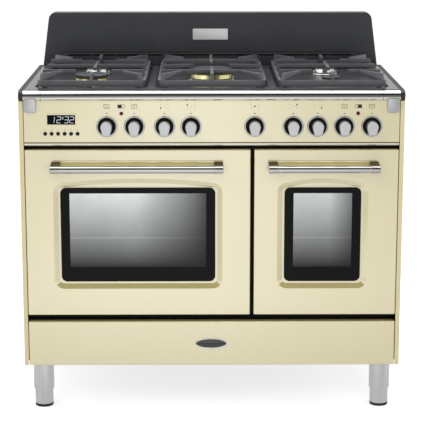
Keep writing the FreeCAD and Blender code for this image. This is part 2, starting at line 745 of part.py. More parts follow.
def recess_face(oven, grow, y):
    """Outline of the pressed recess round the glass: round corners, and a top that rises in a flat arch."""
    x_from, x_to = glass_span(oven, RECESS_MARGIN + grow)
    low = GLASS_BOTTOM - RECESS_BELOW - grow
    shoulder = GLASS_BOTTOM + GLASS_HEIGHT + RECESS_ABOVE + grow
    r = RECESS_RADIUS + grow
    k = r * (1 - math.sqrt(0.5))
    crown = V((x_from + x_to) / 2, y, shoulder + RECESS_RISE)
    edges = [
        Part.LineSegment(V(x_from + r, y, low), V(x_to - r, y, low)).toShape(),
        Part.Arc(V(x_to - r, y, low), V(x_to - k, y, low + k), V(x_to, y, low + r)).toShape(),
        Part.LineSegment(V(x_to, y, low + r), V(x_to, y, shoulder - r)).toShape(),
        Part.Arc(V(x_to, y, shoulder - r), V(x_to - k, y, shoulder - k), V(x_to - r, y, shoulder)).toShape(),
        Part.Arc(V(x_to - r, y, shoulder), crown, V(x_from + r, y, shoulder)).toShape(),
        Part.Arc(
            V(x_from + r, y, shoulder), V(x_from + k, y, shoulder - k), V(x_from, y, shoulder - r),
        ).toShape(),
        Part.LineSegment(V(x_from, y, shoulder - r), V(x_from, y, low + r)).toShape(),
        Part.Arc(V(x_from, y, low + r), V(x_from + k, y, low + k), V(x_from + r, y, low)).toShape(),
    ]
    return face_from(edges)


def recess_plug(oven, grow, y_from):
    """The recess' space, which narrows by its sloping wall from the door's face to the recess' floor."""
    steep = 1.0 / RECESS_DEPTH
    before = recess_face(oven, grow + RECESS_SLOPE * steep, y_from - 1.0).OuterWire
    floor = recess_face(oven, grow - RECESS_SLOPE, y_from + RECESS_DEPTH).OuterWire
    return Part.makeLoft([before, floor], True, True)


def window_slab(oven, margin, y_from, y_to):
    """The clear window inside the glass' printed border."""
    x_from, x_to = glass_span(oven, margin - PRINT_SIDE)
    low = GLASS_BOTTOM + PRINT_BELOW - margin
    high = GLASS_BOTTOM + GLASS_HEIGHT - PRINT_ABOVE + margin
    return rounded_slab(x_from, x_to, low, high, WINDOW_RADIUS, y_from, y_to)


def door_skin(oven):
    x_from, x_to = oven.door
    outer = rounded_slab(x_from, x_to, DOOR_BOTTOM, DOOR_TOP, DOOR_CORNER_RADIUS, 0, DOOR_RETURN)
    outer = outer.makeFillet(DOOR_EDGE_RADIUS, edges_where(outer, lambda e: at_y(e, 0)))
    inner = rounded_slab(x_from + SHEET, x_to - SHEET, DOOR_BOTTOM + SHEET, DOOR_TOP - SHEET,
                         DOOR_CORNER_RADIUS - SHEET, SHEET, DOOR_RETURN + 1)
    shell = outer.cut(inner.cut(recess_plug(oven, SHEET, SHEET)))
    shell = shell.cut(recess_plug(oven, 0.0, 0.0))
    return shell.cut(window_slab(oven, 4.0, RECESS_DEPTH - 1, RECESS_DEPTH + 2 * SHEET))


def pan_slab(oven, margin, y_from, y_to):
    """The plug of the inner pan, which reaches back towards the oven."""
    x_from, x_to = oven_span(oven, SEAL_INSET + SEAL_WIDTH + 2 - margin)
    top = OVEN_BOTTOM + OVEN_HEIGHT + SEAL_INSET + SEAL_WIDTH + 2
    return rounded_slab(x_from, x_to, PAN_BOTTOM + margin, top - margin, OVEN_RADIUS, y_from, y_to)


def door_liner(oven):
    """Inner pan of the door, with the two hinge arms welded to its bottom wall."""
    x_from, x_to = oven.door
    lap = SEAT_GAP
    flange = block(x_from + lap, x_to - lap, DOOR_RETURN, DOOR_RETURN + SHEET, PAN_BOTTOM, DOOR_TOP - lap)
    pan = pan_slab(oven, 0.0, DOOR_RETURN, DOOR_THICKNESS)
    liner = fuse([flange, pan]).cut(pan_slab(oven, SHEET, DOOR_RETURN - 1, DOOR_THICKNESS - SHEET))
    liner = liner.cut(window_slab(oven, -4.0, DOOR_THICKNESS - 2 * SHEET, DOOR_THICKNESS + 1))
    return fuse([liner] + [hinge_arm(x) for x in oven.hinge_places()])


def hinge_arm(x):
    half = HINGE_ARM / 2
    eye = rod_x(HINGE_EYE_RADIUS, x - half, x + half, PIVOT_Y, PIVOT_Z)
    eye_radius = HINGE_EYE_RADIUS
    blade = block(x - half, x + half, PIVOT_Y - eye_radius, PIVOT_Y + eye_radius, PIVOT_Z, PAN_BOTTOM)
    pad_back = DOOR_THICKNESS - 2
    reach = HINGE_PLATE_HALF
    pad = block(x - reach, x + reach, DOOR_RETURN + SHEET, pad_back, PAN_BOTTOM - HINGE_PAD, PAN_BOTTOM)
    hole = rod_x(HINGE_PIN_RADIUS + RUN_CLEARANCE, x - half - 1, x + half + 1, PIVOT_Y, PIVOT_Z)
    return fuse([eye, blade, pad]).cut(hole)


def hinge_bracket(x):
    """Fixed half of a door hinge: a plate on the front frame, two cheeks and the pin across them."""
    near = HINGE_ARM / 2 + HINGE_SIDE_GAP
    far = near + HINGE_CHEEK
    low = PIVOT_Z + 1
    half = HINGE_PLATE_HALF
    plate = block(x - half, x + half, FRAME_FACE - HINGE_PLATE, FRAME_FACE, low, low + HINGE_PLATE_HEIGHT)
    pieces = [plate, rod_x(HINGE_PIN_RADIUS, x - far, x + far, PIVOT_Y, PIVOT_Z)]
    for a, b in ((near, far), (-far, -near)):
        pieces.append(rod_x(HINGE_EYE_RADIUS, x + a, x + b, PIVOT_Y, PIVOT_Z))
        pieces.append(block(x + a, x + b, PIVOT_Y, FRAME_FACE, low, low + HINGE_PLATE_HEIGHT / 2))
    return fuse(pieces)


def door_glazing(oven):
    x_from, x_to = glass_span(oven)
    front = RECESS_DEPTH - GLASS_THICKNESS
    top = GLASS_BOTTOM + GLASS_HEIGHT
    outer = rounded_slab(x_from, x_to, GLASS_BOTTOM, top, GLASS_RADIUS, front, RECESS_DEPTH)
    outer = outer.makeFillet(0.8, edges_where(outer, lambda e: at_y(e, front)))
    back = DOOR_THICKNESS - SHEET
    inner = window_slab(oven, INNER_GLASS_LAP, back - INNER_GLASS_THICKNESS, back)
    return [outer, inner]


def handle(oven):
    start = oven.handle_centre - oven.handle_length / 2
    end = oven.handle_centre + oven.handle_length / 2
    pieces = [rod_x(HANDLE_RADIUS, start + 1, end - 1, HANDLE_AXIS_Y, HANDLE_Z)]
    for a, b in ((start, start + HANDLE_SLEEVE), (end - HANDLE_SLEEVE, end)):
        sleeve = rod_x(HANDLE_SLEEVE_RADIUS, a, b, HANDLE_AXIS_Y, HANDLE_Z)
        sleeve = sleeve.makeFillet(1.2, edges_where(sleeve, lambda e: e.BoundBox.XLength < 0.01))
        pieces += [sleeve, handle_post(a, b)]
    return fuse(pieces)


def handle_post(x_from, x_to):
    """Post between a sleeve and the door, taller at the door than at the bar."""
    near = HANDLE_POST_BAR / 2
    far = HANDLE_POST_DOOR / 2
    outline = Part.makePolygon([
        V(x_from, HANDLE_AXIS_Y, HANDLE_Z - near), V(x_from, 0, HANDLE_Z - far),
        V(x_from, 0, HANDLE_Z + far), V(x_from, HANDLE_AXIS_Y, HANDLE_Z + near),
        V(x_from, HANDLE_AXIS_Y, HANDLE_Z - near),
    ])
    post = Part.Face(outline).extrude(V(x_to - x_from, 0, 0))
    long_edges = edges_where(post, lambda e: e.BoundBox.YLength > -HANDLE_AXIS_Y - 1)
    return post.makeFillet(HANDLE_POST_EDGE, long_edges)


# ---------------------------------------------------------------- drawer
def drawer_front():
    x = DOOR_HALF_SPAN
    outer = rounded_slab(-x, x, LEG_HEIGHT, DRAWER_TOP, DOOR_CORNER_RADIUS, 0, DOOR_RETURN)
    outer = outer.makeFillet(DOOR_EDGE_RADIUS, edges_where(outer, lambda e: at_y(e, 0)))
    inner = rounded_slab(-x + SHEET, x - SHEET, LEG_HEIGHT + SHEET, DRAWER_TOP - SHEET,
                         DOOR_CORNER_RADIUS - SHEET, SHEET, DOOR_RETURN + 1)
    rib_z = DRAWER_WALL_TOP - DRAWER_RIB_DROP
    rib = block(-DRAWER_SIDE, DRAWER_SIDE, SHEET / 2, DOOR_RETURN, rib_z, rib_z + SHEET)
    return fuse([outer.cut(inner), rib])


def drawer_rail_zs():
    low = RUNNER_BOTTOM + RUNNER_FLANGE + SLIDE_GAP
    high = RUNNER_BOTTOM + RUNNER_HEIGHT - RUNNER_FLANGE - SLIDE_GAP
    return low, high


def drawer_tray():
    y_from = DOOR_RETURN
    y_to = y_from + DRAWER_DEPTH
    outer = block(-DRAWER_SIDE, DRAWER_SIDE, y_from, y_to, DRAWER_FLOOR, DRAWER_WALL_TOP)
    inner = block(-DRAWER_SIDE + SHEET, DRAWER_SIDE - SHEET, y_from + SHEET, y_to - SHEET,
                  DRAWER_FLOOR + SHEET, DRAWER_WALL_TOP + 1)
    low, high = drawer_rail_zs()
    reach = DRAWER_SIDE + RUNNER_REACH - SLIDE_GAP
    rail = block(DRAWER_SIDE - SHEET / 2, reach, y_from + 12, y_to, low, high)
    hollow = block(DRAWER_SIDE - SHEET / 2, reach - SHEET, y_from, y_to + 1, low + SHEET, high - SHEET)
    rail = rail.cut(hollow)
    return fuse([outer.cut(inner)] + both_sides(rail))


def drawer_runner():
    """C-section on the base that the drawer's rail slides in."""
    inner = DRAWER_SIDE + RUNNER_REACH
    outer = inner + RUNNER_WEB
    high = RUNNER_BOTTOM + RUNNER_HEIGHT
    channel = block(DRAWER_SIDE + 4, outer, RUNNER_FROM, RUNNER_TO, RUNNER_BOTTOM, high)
    groove = block(DRAWER_SIDE, inner, RUNNER_FROM - 1, RUNNER_TO + 1,
                   RUNNER_BOTTOM + RUNNER_FLANGE, high - RUNNER_FLANGE)
    web = block(inner, outer, RUNNER_FROM, RUNNER_TO, LEG_HEIGHT + FRAME_SHEET, RUNNER_BOTTOM + 1)
    return fuse([channel.cut(groove), web])


# ---------------------------------------------------------------- control panel
def knob_places():
    return OVEN_KNOBS_LEFT + GAS_KNOBS + OVEN_KNOBS_RIGHT


def button_places():
    first = CLOCK_X - (BUTTON_COUNT - 1) * BUTTON_PITCH / 2
    return [first + i * BUTTON_PITCH for i in range(BUTTON_COUNT)]


def control_panel():
    half = DOOR_HALF_SPAN
    outer = block(-half, half, PANEL_FACE, PANEL_RETURN, PANEL_BOTTOM, RAIL_BOTTOM)
    nose = edges_where(outer, lambda e: at_y(e, PANEL_FACE) and at_z(e, PANEL_BOTTOM))
    outer = outer.makeFillet(PANEL_NOSE, nose)
    inside = half - SHEET
    behind = PANEL_FACE + SHEET
    inner = block(-inside, inside, behind, PANEL_RETURN + 1, PANEL_BOTTOM + SHEET, RAIL_BOTTOM - SHEET)
    inner_nose = edges_where(inner, lambda e: at_y(e, behind) and at_z(e, PANEL_BOTTOM + SHEET))
    inner = inner.makeFillet(PANEL_NOSE - SHEET, inner_nose)
    shelf = block(-half, half, PANEL_RETURN - 1, PANEL_SHELF, PANEL_BOTTOM, PANEL_BOTTOM + SHEET)
    back = PANEL_FACE + SHEET + 1
    front = PANEL_FACE - 1
    cuts = [rod_y(SPINDLE_HOLE, front, back, x, KNOB_Z) for x in knob_places()]
    cuts += [rod_y(BUTTON_RADIUS + BUTTON_CLEARANCE, front, back, x, BUTTON_Z) for x in button_places()]
    cuts += [rod_y(LAMP_STEM + SEAT_GAP, front, back, x, LAMP_Z) for x in LAMP_SPOTS]
    half_w = CLOCK_WIDTH / 2 + CLOCK_GAP
    half_h = CLOCK_HEIGHT / 2 + CLOCK_GAP
    cuts.append(block(CLOCK_X - half_w, CLOCK_X + half_w, front, back, CLOCK_Z - half_h, CLOCK_Z + half_h))
    return fuse([outer.cut(inner), shelf]).cut(Part.makeCompound(cuts))


def clock_display():
    half_w = CLOCK_WIDTH / 2
    half_h = CLOCK_HEIGHT / 2
    front = PANEL_FACE - CLOCK_PROUD
    back = CLOCK_MODULE_Y + CLOCK_MODULE_DEPTH
    high = CLOCK_Z + half_h
    window = block(CLOCK_X - half_w, CLOCK_X + half_w, front, CLOCK_MODULE_Y + 1, CLOCK_Z - half_h, high)
    window = window.makeFillet(0.5, edges_where(window, lambda e: at_y(e, front)))
    low = BUTTON_Z - CLOCK_MODULE_EDGE
    reach = CLOCK_MODULE_HALF
    module = block(CLOCK_X - reach, CLOCK_X + reach, CLOCK_MODULE_Y, back, low, high + CLOCK_GAP)
    return fuse([window, module])


def button(x):
    front = PANEL_FACE - BUTTON_PROUD
    behind = PANEL_FACE + SHEET + SEAT_GAP
    cap = rod_y(BUTTON_RADIUS, front, behind + 1, x, BUTTON_Z)
    cap = cap.makeFillet(0.9, edges_where(cap, lambda e: at_y(e, front)))
    flange = rod_y(BUTTON_FLANGE, behind, behind + 1.5, x, BUTTON_Z)
    return fuse([cap, flange])


def pilot_lamp(x):
    lens = rod_y(LAMP_RADIUS, PANEL_FACE - 2.2, PANEL_FACE, x, LAMP_Z)
    lens = lens.makeFillet(1.8, edges_where(lens, lambda e: at_y(e, PANEL_FACE - 2.2)))
    stem = rod_y(LAMP_STEM, PANEL_FACE - 1, PANEL_FACE + 16, x, LAMP_Z)
    return fuse([lens, stem])


def knob_bezel(x):
    front = PANEL_FACE - BEZEL_HEIGHT
    ring = rod_y(BEZEL_RADIUS, front, PANEL_FACE, x, KNOB_Z)
    ring = ring.makeFillet(1.4, edges_where(ring, lambda e: at_y(e, front)))
    return ring.cut(rod_y(BEZEL_INNER, front - 1, PANEL_FACE + 1, x, KNOB_Z))


def grip_face(x, y):
    """Outline of a knob's grip: a round head, straight sides that draw in, a flat foot with round corners."""
    head = V(x, y, KNOB_Z + KNOB_TOP - KNOB_HEAD)
    reach = KNOB_TAIL - KNOB_TAIL_CORNER
    drop = KNOB_TOP - KNOB_HEAD + KNOB_FOOT - KNOB_TAIL_CORNER
    lean = math.acos((KNOB_HEAD - KNOB_TAIL_CORNER) / math.hypot(reach, drop)) - math.atan2(drop, reach)
    sides = []
    for way in (1, -1):
        out = V(way * math.cos(lean), 0, math.sin(lean))
        foot = V(x + way * reach, y, head.z - drop)
        half_turn = (lean - math.pi / 2) / 2
        between = V(way * math.cos(half_turn), 0, math.sin(half_turn))
        low = foot - V(0, 0, KNOB_TAIL_CORNER)
        side = [head + out * KNOB_HEAD, foot + out * KNOB_TAIL_CORNER, foot + between * KNOB_TAIL_CORNER, low]
        sides.append(side)
    right, left = sides
    edges = [
        Part.Arc(right[0], head + V(0, 0, KNOB_HEAD), left[0]).toShape(),
        Part.LineSegment(left[0], left[1]).toShape(),
        Part.Arc(left[1], left[2], left[3]).toShape(),
        Part.LineSegment(left[3], right[3]).toShape(),
        Part.Arc(right[3], right[2], right[1]).toShape(),
        Part.LineSegment(right[1], right[0]).toShape(),
    ]
    return face_from(edges)


def knob(x):
    disc_back = PANEL_FACE - SEAT_GAP
    disc_front = disc_back - KNOB_DISC_HEIGHT
    front = PANEL_FACE - KNOB_REACH
    disc = rod_y(KNOB_DISC, disc_front, disc_back, x, KNOB_Z)
    disc = disc.makeFillet(1.0, edges_where(disc, lambda e: at_y(e, disc_front)))
    grip = grip_face(x, disc_back - 1).extrude(V(0, front - disc_back + 1, 0))
    grip = grip.makeFillet(KNOB_EDGE, edges_where(grip, lambda e: at_y(e, front)))
    bore = rod_y(SPINDLE_RADIUS + RUN_CLEARANCE, PANEL_FACE - SPINDLE_IN_KNOB, PANEL_FACE + 1, x, KNOB_Z)
    return fuse([disc, grip]).cut(bore)


def spindle(x):
    return rod_y(SPINDLE_RADIUS, PANEL_FACE - SPINDLE_IN_KNOB + 1, PANEL_FACE + SHEET + 8, x, KNOB_Z)


def oven_switch(x):
    behind = PANEL_FACE + SHEET
    half_w = SWITCH_WIDTH / 2
    half_h = SWITCH_HEIGHT / 2
    body = block(x - half_w, x + half_w, behind, behind + SWITCH_DEPTH, KNOB_Z - half_h, KNOB_Z + half_h)
    body = body.makeFillet(3.0, edges_where(body, lambda e: e.BoundBox.YLength > SWITCH_DEPTH - 1))
    return fuse([body, spindle(x)])


def gas_rail():
    """Manifold with its five taps, a feed pipe from each tap to its burner, and the inlet at the back."""
    behind = PANEL_FACE + SHEET
    inlet_start = BACK_PANEL_Y - SEAT_GAP
    corner = V(INLET_X, MANIFOLD_Y, MANIFOLD_Z)
    start = V(GAS_KNOBS[0] - MANIFOLD_END, MANIFOLD_Y, MANIFOLD_Z)
    end = V(INLET_X, BACK_PANEL_Y, MANIFOLD_Z)
    pieces = [pipe([start, corner, end], MANIFOLD_RADIUS)]
    shoulder = BACK_PANEL_Y - INLET_SHOULDER_LENGTH
    pieces.append(rod_y(INLET_SHOULDER, shoulder, inlet_start, INLET_X, MANIFOLD_Z))
    pieces.append(rod_y(INLET_RADIUS, inlet_start, inlet_start + INLET_LENGTH, INLET_X, MANIFOLD_Z))
    for i, burner in enumerate(BURNERS):
        x = burner.knob
        half = TAP_WIDTH / 2
        low = MANIFOLD_Z - MANIFOLD_RADIUS
        pieces.append(block(x - half, x + half, behind, MANIFOLD_Y + 2, low, low + TAP_HEIGHT + 10))
        pieces.append(spindle(x))
        level = FEED_LOWEST + i * FEED_STEP
        run_y = MANIFOLD_Y - 12
        lane = burner.x
        if burner.y > SPLIT_MIDDLE:
            lane -= math.copysign(FEED_DETOUR, burner.x)
        route = [V(x, run_y, low + TAP_HEIGHT), V(x, run_y, level), V(lane, run_y, level)]
        route.append(V(lane, burner.y, level))
        if lane != burner.x:
            route.append(V(burner.x, burner.y, level))
        route.append(V(burner.x, burner.y, cup_bottom()))
        pieces.append(pipe(route, FEED_RADIUS))
    return fuse(pieces)


# ---------------------------------------------------------------- rail and hob
def rail_section(x_from, x_to, grow=0.0):
    radius = (RAIL_TOP - RAIL_BOTTOM) / 2 + grow
    z = (RAIL_BOTTOM + RAIL_TOP) / 2
    bar = rod_x(radius, x_from, x_to, RAIL_AXIS_Y, z)
    back = block(x_from, x_to, RAIL_AXIS_Y, RAIL_BACK, z - radius, z + radius)
    return fuse([bar, back])


def rail_cap():
    cap = rail_section(RAIL_HALF + SEAT_GAP, RAIL_HALF + RAIL_CAP)
    return cap.makeFillet(1.5, edges_where(cap, lambda e: abs(e.BoundBox.XMin - RAIL_HALF - RAIL_CAP) < 0.01))


def front_rail():
    return [rail_section(-RAIL_HALF, RAIL_HALF)] + both_sides(rail_cap())


def rail_bracket():
    """Wedge under the rail's end, fixed to the control panel and hollowed to take the rail."""
    face = PANEL_FACE
    top = RAIL_BOTTOM + BRACKET_HUG
    outline = Part.makePolygon([
        V(BRACKET_INNER, face, top), V(BRACKET_INNER, face - BRACKET_TOP_REACH, top),
        V(BRACKET_INNER, face - BRACKET_FOOT_REACH, BRACKET_FOOT), V(BRACKET_INNER, face, BRACKET_FOOT),
        V(BRACKET_INNER, face, top),
    ])
    wedge = Part.Face(outline).extrude(V(BRACKET_OUTER - BRACKET_INNER, 0, 0))
    upright = edges_where(wedge, lambda e: at_z(e, BRACKET_FOOT) and e.BoundBox.XLength < 0.01)
    wedge = wedge.makeFillet(6.0, upright)
    wedge = wedge.cut(rail_section(BRACKET_INNER - 1, BRACKET_OUTER + 1, SEAT_GAP))
    return max(wedge.Solids, key=lambda solid: solid.Volume)


def worktop_trim():
    x_from = HALF - TRIM_WIDTH
    back = SPLASH_FRONT - SEAT_GAP
    outer = block(x_from, HALF, RAIL_BACK + SEAT_GAP, back, RAIL_BOTTOM, WORKTOP)
    edge = edges_where(outer, lambda e: at_z(e, WORKTOP) and e.BoundBox.YLength > 100)
    outer = outer.makeFillet(2.0, edge)
    inner = block(x_from + SHEET, HALF - SHEET, RAIL_BACK, back + 1, RAIL_BOTTOM - 1, WORKTOP - SHEET)
    return outer.cut(inner)


def well(centre, grow, z_from, z_to):
    half = WELL_WIDTH / 2 + grow
    front = WELL_FRONT - grow
    back = WELL_BACK + grow
    return flat_slab(centre - half, centre + half, front, back, WELL_RADIUS + grow, z_from, z_to)


def hob_plate():
    """Pressed enamelled plate with a well under each grate and a hole for each burner."""
    half = HALF - TRIM_WIDTH - SEAT_GAP
    outer = block(-half, half, HOB_FRONT, HOB_BACK, RAIL_BOTTOM, WORKTOP)
    inside = half - SHEET
    inner = block(-inside, inside, HOB_FRONT + SHEET, HOB_BACK - SHEET, RAIL_BOTTOM - 1, WORKTOP - SHEET)
    pressed = Part.makeCompound([well(c, SHEET, WELL_FLOOR - SHEET, WORKTOP) for c in WELL_CENTRES])
    wells = Part.makeCompound([well(c, 0.0, WELL_FLOOR, WORKTOP + 1) for c in WELL_CENTRES])
    plate = outer.cut(inner.cut(pressed)).cut(wells)
    holes = [rod_z(cup_radius(b) + SEAT_GAP, WELL_FLOOR - 5, WORKTOP, b.x, b.y) for b in BURNERS]
    plate = plate.cut(Part.makeCompound(holes))
    rims = edges_where(plate, lambda e: at_z(e, WORKTOP) and WELL_FRONT - 1 < e.BoundBox.YMin < WELL_BACK + 1)
    return plate.makeFillet(1.0, rims)


# ---------------------------------------------------------------- burners
def cup_radius(burner):
    return burner.crown * CUP_NECK


def cup_bottom():
    return WELL_FLOOR - CUP_DEPTH


def burner_cup(burner):
    """Steel cup: a flange on the well's floor and the injector cup that hangs through its hole."""
    top = WELL_FLOOR + CUP_FLANGE
    flange = rod_z(burner.crown + CUP_RIM, WELL_FLOOR, top, burner.x, burner.y)
    flange = flange.makeFillet(CUP_FLANGE / 2, edges_where(flange, lambda e: at_z(e, top)))
    cup = rod_z(cup_radius(burner), cup_bottom(), WELL_FLOOR + 1, burner.x, burner.y)
    inside = cup_radius(burner) - CUP_SHEET
    hollow = rod_z(inside, cup_bottom() + CUP_SHEET, top + 1, burner.x, burner.y)
    return fuse([flange, cup]).cut(hollow)


def burner_crown(burner):
    """Brass crown with a ring of flame ports."""
    low = WELL_FLOOR + CUP_FLANGE
    r = burner.crown
    top = burner.crown_top
    section = Part.makePolygon([
        V(r - 12, 0, low), V(r, 0, low), V(r, 0, low + 4), V(r - 4, 0, top - 5),
        V(r - 2.5, 0, top), V(r - 12, 0, top), V(r - 12, 0, low),
    ])
    crown = Part.Face(section).revolve(V(0, 0, 0), Z_AXIS, 360)
    slots = []
    for i in range(PORTS):
        slot = block(r - 8, r + 1, -PORT_WIDTH / 2, PORT_WIDTH / 2, top - 4, top + 1)
        slot.rotate(V(0, 0, 0), Z_AXIS, i * 360.0 / PORTS)
        slots.append(slot)
    crown = crown.cut(Part.makeCompound(slots))
    return crown.translated(V(burner.x, burner.y, 0))


def burner_cap(burner):
    r = burner.crown - 1.0
    low = burner.crown_top
    cap = rod_z(r, low, low + burner.cap_height, burner.x, burner.y)
    return cap.makeFillet(CAP_EDGE, edges_where(cap, lambda e: at_z(e, low + burner.cap_height)))


# ---------------------------------------------------------------- grates
def bar_between(x_from, y_from, x_to, y_to, z_from, z_to):
    """Cast bar of rectangular section between two points seen from above."""
    way = V(x_to - x_from, y_to - y_from, 0)
    bar = block(0, way.Length, -GRATE_BAR / 2, GRATE_BAR / 2, z_from, z_to)
    bar.rotate(V(0, 0, 0), Z_AXIS, math.degrees(math.atan2(way.y, way.x)))
    return bar.translated(V(x_from, y_from, 0))


def finger(x_from, y_from, x_to, y_to, web=0.0):
    """Finger that rises from the frame and runs level to its tip. web lengthens its deep start."""
    way = V(x_to - x_from, y_to - y_from, 0)
    low = GRATE_FRAME_BOTTOM + 2
    outline = Part.makePolygon([
        V(0, 0, low), V(GRATE_BAR, 0, low), V(FINGER_RISE + GRATE_BAR + web, 0, FINGER_UNDERSIDE - 2),
        V(way.Length, 0, FINGER_UNDERSIDE), V(way.Length, 0, GRATE_TOP), V(FINGER_RISE, 0, GRATE_TOP),
        V(0, 0, GRATE_FRAME_TOP - 1), V(0, 0, low),
    ])
    bar = Part.Face(outline).extrude(V(0, GRATE_BAR, 0)).translated(V(0, -GRATE_BAR / 2, 0))
    bar.rotate(V(0, 0, 0), Z_AXIS, math.degrees(math.atan2(way.y, way.x)))
    return bar.translated(V(x_from, y_from, 0))


def cross_bar(x_from, x_to, y):
    """Full bar between the frame's sides: it rises from each side and runs level between them."""
    low = GRATE_FRAME_BOTTOM + 2
    shoulder = FINGER_RISE + GRATE_BAR
    outline = Part.makePolygon([
        V(x_from, y, low), V(x_from + GRATE_BAR, y, low), V(x_from + shoulder, y, FINGER_UNDERSIDE),
        V(x_to - shoulder, y, FINGER_UNDERSIDE), V(x_to - GRATE_BAR, y, low), V(x_to, y, low),
        V(x_to, y, GRATE_FRAME_TOP - 1), V(x_to - FINGER_RISE, y, GRATE_TOP),
        V(x_from + FINGER_RISE, y, GRATE_TOP), V(x_from, y, GRATE_FRAME_TOP - 1), V(x_from, y, low),
    ])
    return Part.Face(outline).extrude(V(0, GRATE_BAR, 0)).translated(V(0, -GRATE_BAR / 2, 0))


def level_bar(x_from, y_from, x_to, y_to):
    return bar_between(x_from, y_from, x_to, y_to, FINGER_UNDERSIDE, GRATE_TOP)


def grate(centre, cross_rows, finger_rows):
    """One cast grate. cross_rows are the Y of its full bars, finger_rows those of its side fingers."""
    half = GRATE_WIDTH / 2
    x_from = centre - half
    x_to = centre + half
    radius = GRATE_CORNER
    outer = flat_slab(x_from, x_to, GRATE_FRONT, GRATE_BACK, radius, GRATE_FRAME_BOTTOM, GRATE_FRAME_TOP)
    hole = flat_slab(x_from + GRATE_BAR, x_to - GRATE_BAR, GRATE_FRONT + GRATE_BAR, GRATE_BACK - GRATE_BAR,
                     radius - GRATE_BAR, GRATE_FRAME_BOTTOM - 1, GRATE_FRAME_TOP + 1)
    pieces = [outer.cut(hole)]
    inset = GRATE_BAR / 2
    left = x_from + inset
    right = x_to - inset
    front = GRATE_FRONT + inset
    back = GRATE_BACK - inset
    for y in cross_rows:
        pieces.append(cross_bar(left, right, y))
    for y in finger_rows:
        pieces.append(finger(left, y, centre - FINGER_GAP / 2, y))
        pieces.append(finger(right, y, centre + FINGER_GAP / 2, y))
    for edge_y, way in ((front, 1), (back, -1)):
        nearest = min(finger_rows, key=lambda y: abs(y - edge_y))
        pieces.append(finger(centre, edge_y, centre, nearest - way * FINGER_GAP / 2))
    if len(finger_rows) > 1:
        tip = FINGER_GAP / 2
        pieces.append(level_bar(centre, finger_rows[0] + tip, centre, finger_rows[1] - tip))
    corner = radius * CORNER_START
    for x, way_x in ((left, 1), (right, -1)):
        for y, way_y in ((front, 1), (back, -1)):
            start_x = x + way_x * corner
            start_y = y + way_y * corner
            end_x = x + way_x * CORNER_FINGER_X
            end_y = y + way_y * CORNER_FINGER_Y
            pieces.append(finger(start_x, start_y, end_x, end_y, CORNER_WEB))
    foot = GRATE_FOOT / 2
    for x in (x_from + radius, x_to - radius):
        for y in (GRATE_FRONT + foot + 1, GRATE_BACK - foot - 1):
            pieces.append(rod_z(foot, WELL_FLOOR, GRATE_FRAME_TOP - 1, x, y))
    return fuse(pieces)


# ---------------------------------------------------------------- splashback
def splash_slab(inset, y_from, y_to, z_from):
    """Upright slab that narrows upwards, with round upper corners."""
    slope = (SPLASH_HALF_BASE - SPLASH_HALF_TOP) / (SPLASH_TOP - WORKTOP)
    low_half = SPLASH_HALF_BASE + (WORKTOP - z_from) * slope - inset
    high_half = SPLASH_HALF_TOP - inset
    top = SPLASH_TOP - inset
    points = [
        V(-low_half, y_from, z_from), V(low_half, y_from, z_from),
        V(high_half, y_from, top), V(-high_half, y_from, top),
    ]
    slab = Part.Face(Part.makePolygon(points + points[:1])).extrude(V(0, y_to - y_from, 0))
    corners = edges_where(slab, lambda e: e.BoundBox.YLength > 1 and abs(e.BoundBox.ZMax - top) < 0.1)
    return slab.makeFillet(SPLASH_RADIUS - inset, corners)


def splashback():
    outer = splash_slab(0.0, SPLASH_FRONT, BODY_DEPTH, RAIL_BOTTOM)
    rim = edges_where(outer, lambda e: at_y(e, SPLASH_FRONT) and e.BoundBox.ZMax > WORKTOP)
    outer = outer.makeFillet(SPLASH_EDGE, rim)
    inner = splash_slab(SHEET, SPLASH_FRONT + SHEET, BODY_DEPTH - SHEET, RAIL_BOTTOM - 1)
    return outer.cut(inner)


def flue_slab(inset, y_from, y_to, z_from):
    """Low box shape with its two upper corners cut off."""
    half = FLUE_HALF - inset
    high = FLUE_TOP - inset
    points = [
        V(-half, y_from, z_from), V(half, y_from, z_from), V(half, y_from, high - FLUE_CHAMFER),
        V(half - FLUE_CHAMFER, y_from, high), V(-half + FLUE_CHAMFER, y_from, high),
        V(-half, y_from, high - FLUE_CHAMFER),
    ]
    return Part.Face(Part.makePolygon(points + points[:1])).extrude(V(0, y_to - y_from, 0))


def flue_cover():
    """Low vented box in front of the splashback that lets the ovens' hot air out over the hob."""
    outer = flue_slab(0.0, FLUE_FRONT, SPLASH_FRONT, WORKTOP)
    rim = edges_where(outer, lambda e: at_y(e, FLUE_FRONT) and e.BoundBox.ZMin > WORKTOP + 1)
    outer = outer.makeFillet(FLUE_EDGE, rim)
    inner = flue_slab(SHEET, FLUE_FRONT + SHEET, SPLASH_FRONT + 1, WORKTOP - 1)
    slots = []
    pitch = 2 * (FLUE_HALF - FLUE_SLOT_MARGIN) / FLUE_SLOTS
    z = FLUE_TOP - FLUE_SLOT_DROP
    for i in range(FLUE_SLOTS):
        x = (i + 0.5 - FLUE_SLOTS / 2) * pitch
        half = FLUE_SLOT_LENGTH / 2
        slots.append(block(x - half, x + half, FLUE_FRONT - 1, FLUE_FRONT + 3, z, z + FLUE_SLOT_HEIGHT))
    return outer.cut(inner).cut(Part.makeCompound(slots))


# ---------------------------------------------------------------- all sub-parts
os.makedirs("parts", exist_ok=True)

export("side_panels", both_sides(side_panel()))
export("back_panel", [back_panel()])
export("base_tray", [base_tray()])
export("face_frame", [face_frame()])
export("leg_sleeves", [leg_sleeve(s) for s in leg_spots()])
export("leg_feet", [leg_foot(s) for s in leg_spots()])

